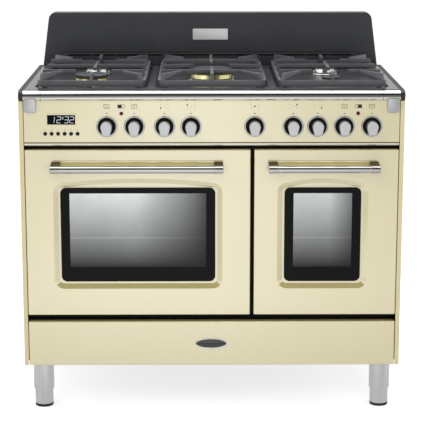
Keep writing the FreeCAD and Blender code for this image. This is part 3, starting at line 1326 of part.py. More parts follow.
for oven in OVENS:
    export(oven.name + "_oven_liner", [oven_liner(oven)])
    export(oven.name + "_oven_fan", [fan(oven)])
    export(oven.name + "_door_skin", [door_skin(oven)])
    export(oven.name + "_door_liner", [door_liner(oven)])
    export(oven.name + "_door_glazing", door_glazing(oven))
    export(oven.name + "_door_handle", [handle(oven)])
export("door_seals", [door_seal(o) for o in OVENS])
export("shelf_ladders", [shelf_ladder(o, side) for o in OVENS for side in (-1, 1)])
export("oven_shelves", [oven_shelf(o) for o in OVENS])
export("fan_motors", [fan_motor(o) for o in OVENS])
export("heating_elements", [heating_element(o) for o in OVENS])
export("hinge_brackets", [hinge_bracket(x) for o in OVENS for x in o.hinge_places()])

export("drawer_front", [drawer_front()])
export("drawer_tray", [drawer_tray()])
export("drawer_runners", both_sides(drawer_runner()))

export("control_panel", [control_panel()])
export("clock_display", [clock_display()])
export("pilot_lamps", [pilot_lamp(x) for x in LAMP_SPOTS])
export("knob_bezels", [knob_bezel(x) for x in knob_places()])
export("oven_switches", [oven_switch(x) for x in OVEN_KNOBS_LEFT + OVEN_KNOBS_RIGHT])
export("gas_rail", [gas_rail()])
KNOB_NAMES = (
    "left_oven_mode_knob", "left_oven_heat_knob", "front_left_gas_knob", "rear_left_gas_knob", "wok_gas_knob",
    "rear_right_gas_knob", "front_right_gas_knob", "right_oven_mode_knob", "right_oven_heat_knob",
)
for name, x in zip(KNOB_NAMES, knob_places()):
    export(name, [knob(x)])
for i, x in enumerate(button_places()):
    export("clock_button_" + str(i + 1), [button(x)])

export("front_rail", front_rail())
export("rail_brackets", both_sides(rail_bracket()))
export("worktop_trims", both_sides(worktop_trim()))
export("hob_plate", [hob_plate()])
export("burner_cups", [burner_cup(b) for b in BURNERS])
export("burner_crowns", [burner_crown(b) for b in BURNERS])
export("burner_caps", [burner_cap(b) for b in BURNERS])
SIDE_ROWS = (SPLIT_FRONT, SPLIT_BACK)
export("left_grate", [grate(WELL_CENTRES[0], (SPLIT_MIDDLE,), SIDE_ROWS)])
export("middle_grate", [grate(WELL_CENTRES[1], SIDE_ROWS, (SPLIT_MIDDLE,))])
export("right_grate", [grate(WELL_CENTRES[2], (SPLIT_MIDDLE,), SIDE_ROWS)])
export("splashback", [splashback()])
export("flue_cover", [flue_cover()])
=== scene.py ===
import bpy
import bmesh
import math
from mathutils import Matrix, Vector


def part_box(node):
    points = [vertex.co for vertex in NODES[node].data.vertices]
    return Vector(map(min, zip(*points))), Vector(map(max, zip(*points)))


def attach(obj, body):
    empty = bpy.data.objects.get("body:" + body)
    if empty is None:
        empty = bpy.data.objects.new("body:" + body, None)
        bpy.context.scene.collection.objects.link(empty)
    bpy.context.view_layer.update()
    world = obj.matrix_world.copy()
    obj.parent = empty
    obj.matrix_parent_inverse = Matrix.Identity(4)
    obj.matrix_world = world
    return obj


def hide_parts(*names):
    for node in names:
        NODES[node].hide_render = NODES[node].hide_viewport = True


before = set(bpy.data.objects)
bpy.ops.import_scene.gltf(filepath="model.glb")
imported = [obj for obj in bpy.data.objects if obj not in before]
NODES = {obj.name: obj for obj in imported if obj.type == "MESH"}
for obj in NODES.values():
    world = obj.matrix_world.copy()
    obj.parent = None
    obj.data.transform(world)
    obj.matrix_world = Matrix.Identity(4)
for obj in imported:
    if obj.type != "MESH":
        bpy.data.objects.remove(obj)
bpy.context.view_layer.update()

# Range cooker with double oven. Places below are in millimetres, X to the right, Y behind the doors' outer
# face and Z above the floor; spot() turns them into the frame's metres.
MM = 0.001
DOOR_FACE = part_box("drawer_front")[0].y


def spot(x, y, z):
    return Vector((x * MM, DOOR_FACE + y * MM, z * MM))


def middle(name):
    low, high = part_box(name)
    return (low + high) / 2


# ------------------------------------------------------------------ small modelling helpers
def nothing_selected():
    if bpy.context.object and bpy.context.object.mode != "OBJECT":
        bpy.ops.object.mode_set(mode="OBJECT")
    bpy.ops.object.select_all(action="DESELECT")


def only(piece):
    nothing_selected()
    piece.select_set(True)
    bpy.context.view_layer.objects.active = piece


def name_new(name):
    piece = bpy.context.object
    piece.name = name
    piece.data.name = name
    return piece


def seat(piece):
    """Moves the place, turn and scale into the mesh, so that the object sits at the origin."""
    only(piece)
    bpy.ops.object.transform_apply(location=True, rotation=True, scale=True)
    return piece


def block(name, low, high):
    """Box between two corners, as a start for shaping."""
    nothing_selected()
    bpy.ops.mesh.primitive_cube_add(size=1, location=(low + high) / 2)
    piece = name_new(name)
    piece.scale = high - low
    return seat(piece)


def disc(name, centre, radius, depth, axis, sides):
    """Solid round slice on the Y or the Z axis, as a start for shaping."""
    turn = (math.pi / 2, 0, 0) if axis == "Y" else (0, 0, 0)
    nothing_selected()
    bpy.ops.mesh.primitive_cylinder_add(
        vertices=sides, radius=radius, depth=depth, location=centre, rotation=turn)
    return seat(name_new(name))


def start_edit(piece, kind):
    """Opens a piece in edit mode with nothing of it selected, and gives its bmesh."""
    only(piece)
    bpy.ops.object.mode_set(mode="EDIT")
    bpy.ops.mesh.select_mode(type=kind)
    bpy.ops.mesh.select_all(action="DESELECT")
    return bmesh.from_edit_mesh(piece.data)


def leave_edit():
    bpy.ops.object.mode_set(mode="OBJECT")


def pick_faces(piece, test):
    """Selects, in edit mode, the faces whose centre and normal pass the test."""
    shape = start_edit(piece, "FACE")
    for face in shape.faces:
        face.select = test(face.calc_center_median(), face.normal)
    bmesh.update_edit_mesh(piece.data)


def pick_edges(piece, test):
    """Selects, in edit mode, the edges whose two ends pass the test."""
    shape = start_edit(piece, "EDGE")
    for edge in shape.edges:
        edge.select_set(test(edge.verts[0].co, edge.verts[1].co))
    bmesh.update_edit_mesh(piece.data)


def step(width, shift):
    """Insets the selected faces, then moves them."""
    bpy.ops.mesh.inset(thickness=width)
    bpy.ops.transform.translate(value=shift)


def move_vertices(piece, move):
    """Hands the place of each vertex to move, which changes it."""
    shape = start_edit(piece, "VERT")
    for vertex in shape.verts:
        move(vertex.co)
    bmesh.update_edit_mesh(piece.data)
    leave_edit()


def round_edges(piece, width, segments=2, angle=35):
    only(piece)
    bevel = piece.modifiers.new("bevel", "BEVEL")
    bevel.width = width
    bevel.segments = segments
    bevel.limit_method = "ANGLE"
    bevel.angle_limit = math.radians(angle)
    bpy.ops.object.modifier_apply(modifier=bevel.name)
    smooth(piece, angle)


def smooth(piece, angle=35):
    only(piece)
    bpy.ops.object.shade_smooth_by_angle(angle=math.radians(angle))


def join(name, pieces):
    nothing_selected()
    for piece in pieces:
        piece.select_set(True)
    bpy.context.view_layer.objects.active = pieces[0]
    bpy.ops.object.join()
    return name_new(name)


def dress(piece, material, body):
    """Gives a finished piece its material and its body."""
    piece.data.materials.clear()
    piece.data.materials.append(material)
    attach(piece, body)
    return piece


def paint_faces(piece, materials, choose=None):
    """Several finishes on one piece: choose(centre, normal) gives the index into materials. Without it, the
    whole piece has the first."""
    piece.data.materials.clear()
    for material in materials:
        piece.data.materials.append(material)
    for polygon in piece.data.polygons:
        polygon.material_index = choose(polygon.center, polygon.normal) if choose else 0


# ------------------------------------------------------------------ shared effects
def new_group(name, inputs, outputs):
    """Empty shader group. inputs and outputs are (name, socket type, default) rows."""
    group = bpy.data.node_groups.new(name, "ShaderNodeTree")
    for direction, rows in (("INPUT", inputs), ("OUTPUT", outputs)):
        for label, kind, default in rows:
            socket = group.interface.new_socket(name=label, in_out=direction, socket_type=kind)
            if default is not None:
                socket.default_value = default
    return group, group.nodes.new("NodeGroupInput"), group.nodes.new("NodeGroupOutput")


def node(tree, kind, **settings):
    made = tree.nodes.new(kind)
    for key, value in settings.items():
        setattr(made, key, value)
    return made


def here(tree):
    """Place on the piece, in metres."""
    return node(tree, "ShaderNodeTexCoord").outputs["Object"]


def axes(tree, vector):
    """The three numbers of a vector, by their letters."""
    split = node(tree, "ShaderNodeSeparateXYZ")
    tree.links.new(vector, split.inputs["Vector"])
    return split.outputs


def noise(tree, vector, scale, detail=2.0, roughness=0.5):
    made = node(tree, "ShaderNodeTexNoise")
    made.inputs["Detail"].default_value = detail
    made.inputs["Roughness"].default_value = roughness
    if isinstance(scale, (int, float)):
        made.inputs["Scale"].default_value = scale
    else:
        tree.links.new(scale, made.inputs["Scale"])
    tree.links.new(vector, made.inputs["Vector"])
    return made.outputs["Fac"]


def span(tree, value, low, high, start=0.0, end=1.0):
    """Maps value from start..end to low..high."""
    made = node(tree, "ShaderNodeMapRange")
    for key, setting in (("From Min", start), ("From Max", end), ("To Min", low), ("To Max", high)):
        if isinstance(setting, (int, float)):
            made.inputs[key].default_value = setting
        else:
            tree.links.new(setting, made.inputs[key])
    tree.links.new(value, made.inputs["Value"])
    return made.outputs["Result"]


def maths(tree, operation, first, second=None):
    made = node(tree, "ShaderNodeMath", operation=operation)
    for socket, value in zip(made.inputs, (first, second)):
        if value is None:
            continue
        if isinstance(value, (int, float)):
            socket.default_value = value
        else:
            tree.links.new(value, socket)
    return made.outputs["Value"]


def blend(tree, factor, first, second, blend_type="MIX"):
    """Mix of two colours, each a socket or a tuple of three; the factor is a socket or a float."""
    mix = node(tree, "ShaderNodeMix", data_type="RGBA", blend_type=blend_type)
    for key, value in (("Factor", factor), ("A", first), ("B", second)):
        if isinstance(value, tuple):
            mix.inputs[key].default_value = (*value, 1)
        elif isinstance(value, float):
            mix.inputs[key].default_value = value
        else:
            tree.links.new(value, mix.inputs[key])
    return mix.outputs["Result"]


def bump(tree, height, strength, distance):
    """Normal of a surface with the given height; strength is a socket."""
    made = node(tree, "ShaderNodeBump")
    made.inputs["Distance"].default_value = distance
    tree.links.new(strength, made.inputs["Strength"])
    tree.links.new(height, made.inputs["Height"])
    return made.outputs["Normal"]


def enamel_flow_group():
    """Fired enamel or paint: a slow wave in the surface and uneven gloss."""
    group, given, result = new_group(
        "enamel_flow",
        (("Roughness", "NodeSocketFloat", 0.15), ("Unevenness", "NodeSocketFloat", 0.05),
         ("Wave Size", "NodeSocketFloat", 60.0), ("Wave Depth", "NodeSocketFloat", 0.02)),
        (("Roughness", "NodeSocketFloat", None), ("Normal", "NodeSocketVector", None)))
    place = here(group)
    wave = noise(group, place, given.outputs["Wave Size"], 1.5)
    normal = bump(group, wave, given.outputs["Wave Depth"], 0.0008)
    patch = noise(group, place, 9.0, 4.0)
    change = maths(group, "MULTIPLY", maths(group, "SUBTRACT", patch, 0.5), given.outputs["Unevenness"])
    group.links.new(maths(group, "ADD", given.outputs["Roughness"], change), result.inputs["Roughness"])
    group.links.new(normal, result.inputs["Normal"])
    return group


def drawn_grain_group():
    """Brushed or drawn metal: fine scratches along one direction, given by a stretch of the coordinates."""
    group, given, result = new_group(
        "drawn_grain",
        (("Stretch", "NodeSocketVector", (1.0, 1.0, 1.0)), ("Roughness", "NodeSocketFloat", 0.3),
         ("Spread", "NodeSocketFloat", 0.12), ("Depth", "NodeSocketFloat", 0.1)),
        (("Roughness", "NodeSocketFloat", None), ("Shade", "NodeSocketFloat", None),
         ("Normal", "NodeSocketVector", None)))
    place = here(group)
    stretched = node(group, "ShaderNodeVectorMath", operation="MULTIPLY")
    group.links.new(place, stretched.inputs[0])
    group.links.new(given.outputs["Stretch"], stretched.inputs[1])
    scratches = noise(group, stretched.outputs["Vector"], 1.0, 3.0, 0.6)
    normal = bump(group, scratches, given.outputs["Depth"], 0.0002)
    change = maths(group, "MULTIPLY", maths(group, "SUBTRACT", scratches, 0.5), given.outputs["Spread"])
    group.links.new(maths(group, "ADD", given.outputs["Roughness"], change), result.inputs["Roughness"])
    group.links.new(span(group, scratches, 0.86, 1.0, 0.3, 0.7), result.inputs["Shade"])
    group.links.new(normal, result.inputs["Normal"])
    return group


def cast_skin_group():
    """Sand-cast or powder-coated skin: fine pits, and slow changes of tone in patches."""
    group, given, result = new_group(
        "cast_skin",
        (("Color", "NodeSocketColor", (0.03, 0.03, 0.03, 1)), ("Pit Size", "NodeSocketFloat", 900.0),
         ("Pit Depth", "NodeSocketFloat", 0.3), ("Roughness", "NodeSocketFloat", 0.6),
         ("Tone", "NodeSocketFloat", 0.25)),
        (("Color", "NodeSocketColor", None), ("Roughness", "NodeSocketFloat", None),
         ("Normal", "NodeSocketVector", None)))
    place = here(group)
    pits = noise(group, place, given.outputs["Pit Size"], 3.0, 0.7)
    normal = bump(group, pits, given.outputs["Pit Depth"], 0.0004)
    cloud = noise(group, place, 22.0, 4.0)
    tone = maths(group, "MULTIPLY", maths(group, "SUBTRACT", cloud, 0.5), given.outputs["Tone"])
    bright = node(group, "ShaderNodeHueSaturation")
    group.links.new(given.outputs["Color"], bright.inputs["Color"])
    group.links.new(maths(group, "ADD", tone, 1.0), bright.inputs["Value"])
    group.links.new(bright.outputs["Color"], result.inputs["Color"])
    rough = maths(group, "ADD", given.outputs["Roughness"], maths(group, "MULTIPLY", tone, -0.4))
    group.links.new(rough, result.inputs["Roughness"])
    group.links.new(normal, result.inputs["Normal"])
    return group


def light_dust_group():
    """Thin dust that lies on faces that look up, in patches."""
    group, given, result = new_group(
        "light_dust",
        (("Color", "NodeSocketColor", (0.5, 0.5, 0.5, 1)), ("Dust", "NodeSocketColor", (0.5, 0.48, 0.45, 1)),
         ("Amount", "NodeSocketFloat", 0.05)),
        (("Color", "NodeSocketColor", None),))
    place = node(group, "ShaderNodeTexCoord")
    patch = span(group, noise(group, place.outputs["Object"], 14.0, 5.0), 0.0, 1.0, 0.42, 0.7)
    upward = span(group, axes(group, place.outputs["Normal"])["Z"], 0.25, 1.0, 0.2, 1.0)
    amount = maths(group, "MULTIPLY", maths(group, "MULTIPLY", patch, upward), given.outputs["Amount"])
    dusty = blend(group, amount, given.outputs["Color"], given.outputs["Dust"])
    group.links.new(dusty, result.inputs["Color"])
    return group


ENAMEL_FLOW = enamel_flow_group()
DRAWN_GRAIN = drawn_grain_group()
CAST_SKIN = cast_skin_group()
LIGHT_DUST = light_dust_group()


# ------------------------------------------------------------------ materials
def new_material(name, color, roughness, metallic=0.0):
    material = bpy.data.materials.new(name)
    material.use_nodes = True
    tree, shader = opened(material)
    shader.inputs["Base Color"].default_value = (*color, 1)
    shader.inputs["Roughness"].default_value = roughness
    shader.inputs["Metallic"].default_value = metallic
    material.diffuse_color = (*color, 1)
    return material, tree, shader


def opened(material):
    tree = material.node_tree
    return tree, tree.nodes["Principled BSDF"]


def place_group(tree, group, **values):
    made = tree.nodes.new("ShaderNodeGroup")
    made.node_tree = group
    for key, value in values.items():
        made.inputs[key.replace("_", " ").title()].default_value = value
    return made


def feed(tree, made, shader, *names):
    """Links a group's outputs to the shader's inputs of the same name, and Color to Base Color."""
    for name in names:
        target = "Base Color" if name == "Color" else name
        tree.links.new(made.outputs[name], shader.inputs[target])


def enamel(name, color, roughness, unevenness=0.05, wave_size=45.0, wave_depth=0.05, coat=0.5, dust=0.05,
           coat_ior=1.5, level=0.5):
    """Fired enamel: colour under a glossy coat, with a slight wave."""
    material, tree, shader = new_material(name, color, roughness)
    flow = place_group(tree, ENAMEL_FLOW, roughness=roughness, unevenness=unevenness,
                       wave_size=wave_size, wave_depth=wave_depth)
    grime = place_group(tree, LIGHT_DUST, color=(*color, 1), amount=dust)
    feed(tree, grime, shader, "Color")
    feed(tree, flow, shader, "Roughness", "Normal")
    shader.inputs["Coat Weight"].default_value = coat
    shader.inputs["Coat Roughness"].default_value = 0.04
    shader.inputs["Coat IOR"].default_value = coat_ior
    shader.inputs["Specular IOR Level"].default_value = level
    return material


def drawn_metal(name, color, roughness, stretch, spread=0.12, depth=0.1):
    """Metal with scratches along the axis that stretch holds small."""
    material, tree, shader = new_material(name, color, roughness, 1.0)
    grain = place_group(tree, DRAWN_GRAIN, stretch=stretch, roughness=roughness, spread=spread, depth=depth)
    tint = blend(tree, 1.0, color, grain.outputs["Shade"], "MULTIPLY")
    tree.links.new(tint, shader.inputs["Base Color"])
    feed(tree, grain, shader, "Roughness", "Normal")
    return material


def cast(name, color, roughness, pit_size=900.0, pit_depth=0.3, tone=0.25, metallic=0.0, level=0.5):
    """Cast, powder-coated, galvanised or moulded skin: fine pits and slow changes of tone."""
    material, tree, shader = new_material(name, color, roughness, metallic)
    shader.inputs["Specular IOR Level"].default_value = level
    skin = place_group(tree, CAST_SKIN, color=(*color, 1), pit_size=pit_size, pit_depth=pit_depth,
                       roughness=roughness, tone=tone)
    feed(tree, skin, shader, "Color", "Roughness", "Normal")
    return material


def speckled_enamel(name, color, fleck):
    """Oven enamel: nearly black, with tiny pale flecks."""
    material = enamel(name, color, 0.22, 0.1, 60.0, 0.08, 0.4, 0.0)
    tree, shader = opened(material)
    place = here(tree)
    flecks = node(tree, "ShaderNodeTexVoronoi")
    flecks.inputs["Scale"].default_value = 260.0
    tree.links.new(place, flecks.inputs["Vector"])
    mask = span(tree, flecks.outputs["Distance"], 1.0, 0.0, 0.1, 0.17)
    tree.links.new(blend(tree, mask, color, fleck), shader.inputs["Base Color"])
    return material


def clear_glass(name, tint, roughness=0.0):
    material, tree, shader = new_material(name, tint, roughness)
    shader.inputs["Transmission Weight"].default_value = 1.0
    shader.inputs["IOR"].default_value = 1.5
    smear = place_group(tree, ENAMEL_FLOW, roughness=roughness, unevenness=0.02,
                        wave_size=18.0, wave_depth=0.01)
    feed(tree, smear, shader, "Normal")
    return material


def half_mirror(name, bright, dim, metallic, right_edge, fade):
    """Door glass with a thin metal film that hides the oven, its colour a painted reflection: darker towards
    its bottom and right edge, with a painted glint where a shelf stands."""
    material = clear_glass(name, bright, 0.03)
    tree, shader = opened(material)
    shader.inputs["Metallic"].default_value = metallic
    where = here(tree)
    place = axes(tree, where)
    # Painted reflection: the film's colour darkens towards its bottom and its right edge.
    rise = span(tree, place["Z"], 0.0, 1.0, PAINTED_REFLECTION_LOW * MM, PAINTED_REFLECTION_HIGH * MM)
    painted_reflection_fade = span(tree, place["X"], 1.0, 0.0, (right_edge - fade) * MM, right_edge * MM)
    cloud = span(tree, noise(tree, where, 6.0, 2.0), 0.88, 1.0, 0.35, 0.65)
    amount = maths(tree, "MULTIPLY", maths(tree, "MULTIPLY", rise, painted_reflection_fade), cloud)
    # Painted glint: a brighter line on the film where a shelf stands behind it.
    off_shelf = off_plane(material, "Z", GLINT_Z * MM)
    glint = span(tree, off_shelf, GLINT, 0.0, GLINT_CORE * MM, GLINT_EDGE * MM)
    amount = maths(tree, "ADD", amount, maths(tree, "MULTIPLY", glint, painted_reflection_fade))
    tree.links.new(blend(tree, amount, dim, bright), shader.inputs["Base Color"])
    return material


def glowing(name, color, dim, strength):
    """Lit digits, a little uneven in brightness."""
    material, tree, shader = new_material(name, color, 0.4)
    place = here(tree)
    lit = blend(tree, noise(tree, place, 400.0), dim, color)
    tree.links.new(lit, shader.inputs["Emission Color"])
    shader.inputs["Emission Strength"].default_value = strength
    return material


def lined(material, distance, half_width, color):
    """Thin matt line where distance, a value in the material's tree, is below half_width."""
    tree, shader = opened(material)
    plain = shader.inputs["Base Color"].links[0].from_socket
    on_line = maths(tree, "LESS_THAN", distance, half_width)
    tree.links.new(blend(tree, on_line, plain, color), shader.inputs["Base Color"])
    coat = shader.inputs["Coat Weight"]
    if coat.default_value > 0:
        off_line = maths(tree, "GREATER_THAN", distance, half_width)
        tree.links.new(maths(tree, "MULTIPLY", off_line, coat.default_value), coat)
    return material


def off_plane(material, axis, place, mirrored=False):
    """Distance from the plane at place on an axis, in metres; mirrored takes both sides of the middle."""
    tree = material.node_tree
    value = axes(tree, here(tree))[axis]
    if mirrored:
        value = maths(tree, "ABSOLUTE", value)
    return maths(tree, "ABSOLUTE", maths(tree, "SUBTRACT", value, place))


# The front rail's painted reflection, a darker band along its middle, and the lines near its ends where its
# lengths butt.
RAIL_REFLECTION_BAND_Z = 855.6
RAIL_REFLECTION_BAND_HALF = 1.8
RAIL_REFLECTION_BAND_FADE = 1.5
RAIL_REFLECTION_BAND_COLOR = (0.2, 0.2, 0.17)
RAIL_BUTT_X = 442.0
RAIL_BUTT_HALF = 0.7
RAIL_BUTT_COLOR = (0.2, 0.2, 0.19)


def rail_steel():
    """Polished bar with a darker band along its middle painted as a reflection, made of lengths that butt
    near both ends.
    """
    material = drawn_metal("polished_rail_steel_painted_reflection", (0.88, 0.88, 0.85), 0.06, drawn_along("X"), 0.04, 0.02)
    tree, shader = opened(material)
    bright = shader.inputs["Base Color"].links[0].from_socket
    # Painted reflection: a darker band along the bar's middle, fading at its edges, stands for what the steel
    # mirrors.
    away = off_plane(material, "Z", RAIL_REFLECTION_BAND_Z * MM)
    painted_reflection_band = span(tree, away, 1.0, 0.0, RAIL_REFLECTION_BAND_HALF * MM, (RAIL_REFLECTION_BAND_HALF + RAIL_REFLECTION_BAND_FADE) * MM)
    tree.links.new(blend(tree, painted_reflection_band, bright, RAIL_REFLECTION_BAND_COLOR), shader.inputs["Base Color"])
    off_butt = off_plane(material, "X", RAIL_BUTT_X * MM, mirrored=True)
    return lined(material, off_butt, RAIL_BUTT_HALF * MM, RAIL_BUTT_COLOR)


# Groove between the control panel's enamel and its steel nose.
GROOVE_Z = 733.4
GROOVE_HALF = 1.7
GROOVE_COLOR = (0.12, 0.10, 0.06)


def panel_cream():
    """The control panel's enamel, with the fine dark groove above its steel nose."""
    material = enamel("panel_cream_enamel", *CREAM_FINISH)
    return lined(material, off_plane(material, "Z", GROOVE_Z * MM), GROOVE_HALF * MM, GROOVE_COLOR)


# Middles of the two pilot lamps, and the radius of their dark middle.
LAMP_SPOTS = (-234.1, 378.8)
LAMP_Z = 810.0
LAMP_MIDDLE = 1.9


def pilot_red():
    """Red lens with a dark middle."""
    material = enamel("pilot_lamp_red", (0.13, 0.002, 0.003), 0.12, 0.03, 200.0, 0.02, 0.25, 0.0, level=0.2)
    tree = material.node_tree
    left, right = LAMP_SPOTS
    across = off_plane(material, "X", (left + right) / 2 * MM)
    sideways = maths(tree, "SUBTRACT", across, (right - left) / 2 * MM)
    upward = off_plane(material, "Z", LAMP_Z * MM)
    squares = maths(tree, "ADD", maths(tree, "POWER", sideways, 2.0), maths(tree, "POWER", upward, 2.0))
    return lined(material, maths(tree, "SQRT", squares), LAMP_MIDDLE * MM, (0.004, 0.002, 0.002))


def drawn_along(axis, coarse=3.0, fine=700.0):
    """Stretch for scratches that run along an axis."""
    return tuple(coarse if label == axis else fine for label in "XYZ")


# The numbers after a name and a colour are, for enamel: roughness, unevenness, wave size and depth, coat,
# dust, coat's index; for drawn_metal: roughness, stretch, spread, depth; for cast: roughness, pit size and
# depth, tone, metallic.
CREAM_FINISH = ((0.63, 0.54, 0.215), 0.22, 0.05, 30.0, 0.05, 1.0, 0.02, 3.8)
CREAM = enamel("cream_enamel", *CREAM_FINISH)
PANEL_CREAM = panel_cream()
SIDE_CREAM = enamel("side_cream_enamel", (0.66, 0.58, 0.34), 0.3, 0.05, 30.0, 0.05, 0.5, 0.02, 1.5)
BLACK_FRAME = enamel("black_frame_enamel", (0.006, 0.006, 0.006), 0.5, 0.1, 60.0, 0.05, 0.0, 0.0, level=0.2)
OVEN_ENAMEL = speckled_enamel("speckled_oven_enamel", (0.05, 0.052, 0.058), (0.4, 0.4, 0.42))
HOB_ENAMEL = enamel("hob_enamel", (0.050, 0.052, 0.058), 0.32, 0.1, 50.0, 0.06, 0.2, 0.06, level=0.2)
SPLASH_ENAMEL = enamel("splashback_enamel", (0.026, 0.028, 0.033), 0.42, 0.1, 70.0, 0.04, 0.1, 0.05)
CAP_ENAMEL = enamel("burner_cap_enamel", (0.03, 0.031, 0.034), 0.38, 0.12, 120.0, 0.1, 0.2, 0.05)
RAIL_STEEL = rail_steel()
PLAIN_STEEL = drawn_metal("brushed_steel", (0.56, 0.56, 0.56), 0.25, drawn_along("Z"), 0.14, 0.1)
LEG_STEEL = drawn_metal("polished_leg_steel", (0.76, 0.76, 0.77), 0.13, drawn_along("Z"), 0.08, 0.04)
NOSE_STEEL = drawn_metal("panel_nose_steel", (0.78, 0.78, 0.74), 0.2, drawn_along("X"), 0.1, 0.03)
TRIM_SLATE = enamel(
    "worktop_trim_slate", (0.125, 0.128, 0.134), 0.45, 0.1, 60.0, 0.05, 0.0, 0.05, level=0.0)
HANDLE_STEEL = drawn_metal(
    "brushed_handle_steel", (0.62, 0.61, 0.60), 0.06, drawn_along("X"), 0.05, 0.02)
SLEEVE_CHROME = drawn_metal(
    "handle_sleeve_chrome", (0.56, 0.55, 0.52), 0.06, drawn_along("X", 200.0), 0.05, 0.02)
POST_CHROME = drawn_metal(
    "handle_post_chrome", (0.11, 0.10, 0.085), 0.2, drawn_along("Y", 200.0), 0.05, 0.02)
CUP_STEEL = drawn_metal("burner_cup_steel", (0.72, 0.72, 0.7), 0.2, (240.0, 240.0, 240.0), 0.1, 0.05)
WIRE_CHROME = drawn_metal("oven_wire_chrome", (0.7, 0.7, 0.68), 0.15, (120.0, 120.0, 120.0), 0.1, 0.04)
GALVANISED = cast("galvanised_sheet", (0.42, 0.43, 0.44), 0.45, 60.0, 0.08, 0.5, 0.9)
ELEMENT = cast("element_sheath", (0.09, 0.08, 0.075), 0.5, 300.0, 0.1, 0.4, 0.7)
KNOB_SILVER = cast("knob_satin_silver", (0.60, 0.60, 0.61), 0.36, 1500.0, 0.05, 0.12, 0.8)
BEZEL_SILVER = drawn_metal("bezel_silver", (0.50, 0.50, 0.49), 0.18, (300.0, 300.0, 300.0), 0.08, 0.03)
KNOB_BLACK = cast("knob_black_disc", (0.004, 0.004, 0.004), 0.4, 1300.0, 0.08, 0.2, level=0.1)
ALUMINIUM = cast("gas_aluminium", (0.55, 0.55, 0.56), 0.42, 400.0, 0.1, 0.2, 1.0)
BRASS = drawn_metal("burner_brass", (0.80, 0.73, 0.38), 0.26, (300.0, 300.0, 120.0), 0.14, 0.1)
CROWN_CHROME = drawn_metal(
    "burner_crown_chrome", (0.78, 0.78, 0.76), 0.16, (300.0, 300.0, 120.0), 0.1, 0.05)
CAST_IRON = cast("cast_iron_grate", (0.088, 0.091, 0.098), 0.4, 700.0, 0.3, 0.35)
BLACK_PLASTIC = cast("black_plastic", (0.012, 0.012, 0.012), 0.45, 1200.0, 0.1, 0.2)
SWITCH_PLASTIC = cast("switch_plastic", (0.16, 0.16, 0.15), 0.55, 800.0, 0.1, 0.2)
SEAL = cast("door_seal_rubber", (0.02, 0.02, 0.02), 0.8, 1500.0, 0.4, 0.3)
BUTTON_GLOSS = enamel(
    "button_gloss_black", (0.006, 0.005, 0.004), 0.12, 0.03, 200.0, 0.02, 0.0, 0.0, level=0.25)
DISPLAY = enamel("display_window", (0.002, 0.002, 0.002), 0.08, 0.02, 80.0, 0.01, 0.0, 0.0, level=0.08)
LAMP_RED = pilot_red()
GLASS_BLACK = enamel(
    "glass_printed_border", (0.004, 0.004, 0.004), 0.07, 0.02, 14.0, 0.01, 0.0, 0.0, level=0.1)
GLASS_CLEAR = clear_glass("oven_door_glass", (0.9, 0.92, 0.93))
# The film's painted reflection brightens from its low height up to its high one and fades before its right
# edge; the painted glint where the shelf stands is full within GLINT_CORE of its height and gone at
# GLINT_EDGE.
PAINTED_REFLECTION_LOW = 398.0
PAINTED_REFLECTION_HIGH = 600.0
PAINTED_REFLECTION_EDGES = {"left": (0.0, 190.0), "right": (400.0, 90.0)}
FILM_METAL_AND_PAINTED_REFLECTION = ((0.80, 0.83, 0.83), (0.015, 0.015, 0.013), 0.7)
GLINT = 0.1
GLINT_Z = 480.0
GLINT_CORE = 1.0
GLINT_EDGE = 2.5
GLASS_FILM = {
    door: half_mirror(door + "_door_film_painted_reflection", *FILM_METAL_AND_PAINTED_REFLECTION, *edge_and_fade)
    for door, edge_and_fade in PAINTED_REFLECTION_EDGES.items()
}
PRINT_GREY = cast("panel_print_grey", (0.035, 0.032, 0.025), 0.6, 900.0, 0.05, 0.2, level=0.2)
DIGIT_WHITE = glowing("clock_digits", (0.75, 0.8, 0.82), (0.55, 0.6, 0.62), 0.35)
PLATE_SILVER = cast("plate_silver", (0.70, 0.70, 0.71), 0.4, 1200.0, 0.03, 0.1, 0.2)
BADGE_BLACK = enamel("badge_black_enamel", (0.006, 0.006, 0.006), 0.1, 0.03, 120.0, 0.03, 0.8, 0.0)
CERAMIC = enamel("spark_plug_ceramic", (0.45, 0.44, 0.41), 0.25, 0.05, 300.0, 0.05, 0.4, 0.05)
SPARK_STEEL = drawn_metal("spark_plug_steel", (0.45, 0.45, 0.43), 0.25, (200.0, 200.0, 200.0))
SCREW_STEEL = drawn_metal("screw_steel", (0.5, 0.5, 0.5), 0.3, (300.0, 300.0, 300.0))


# ------------------------------------------------------------------ CAD nodes that keep their shape
NODE_FINISH = {
    "side_panels": SIDE_CREAM, "left_door_skin": CREAM, "right_door_skin": CREAM, "drawer_front": CREAM,
    "back_panel": GALVANISED, "base_tray": GALVANISED, "drawer_tray": GALVANISED,
    "drawer_runners": GALVANISED, "fan_motors": GALVANISED, "hinge_brackets": GALVANISED,
    "left_oven_fan": GALVANISED, "right_oven_fan": GALVANISED, "face_frame": BLACK_FRAME,
    "left_oven_liner": OVEN_ENAMEL, "right_oven_liner": OVEN_ENAMEL,
    "left_door_liner": OVEN_ENAMEL, "right_door_liner": OVEN_ENAMEL, "door_seals": SEAL,
    "shelf_ladders": WIRE_CHROME, "oven_shelves": WIRE_CHROME, "heating_elements": ELEMENT,
    "leg_sleeves": LEG_STEEL, "knob_bezels": BEZEL_SILVER, "oven_switches": SWITCH_PLASTIC,
    "gas_rail": ALUMINIUM, "clock_display": DISPLAY, "pilot_lamps": LAMP_RED, "worktop_trims": TRIM_SLATE,
    "hob_plate": HOB_ENAMEL, "burner_cups": CUP_STEEL, "burner_caps": CAP_ENAMEL,
    "splashback": SPLASH_ENAMEL,
}


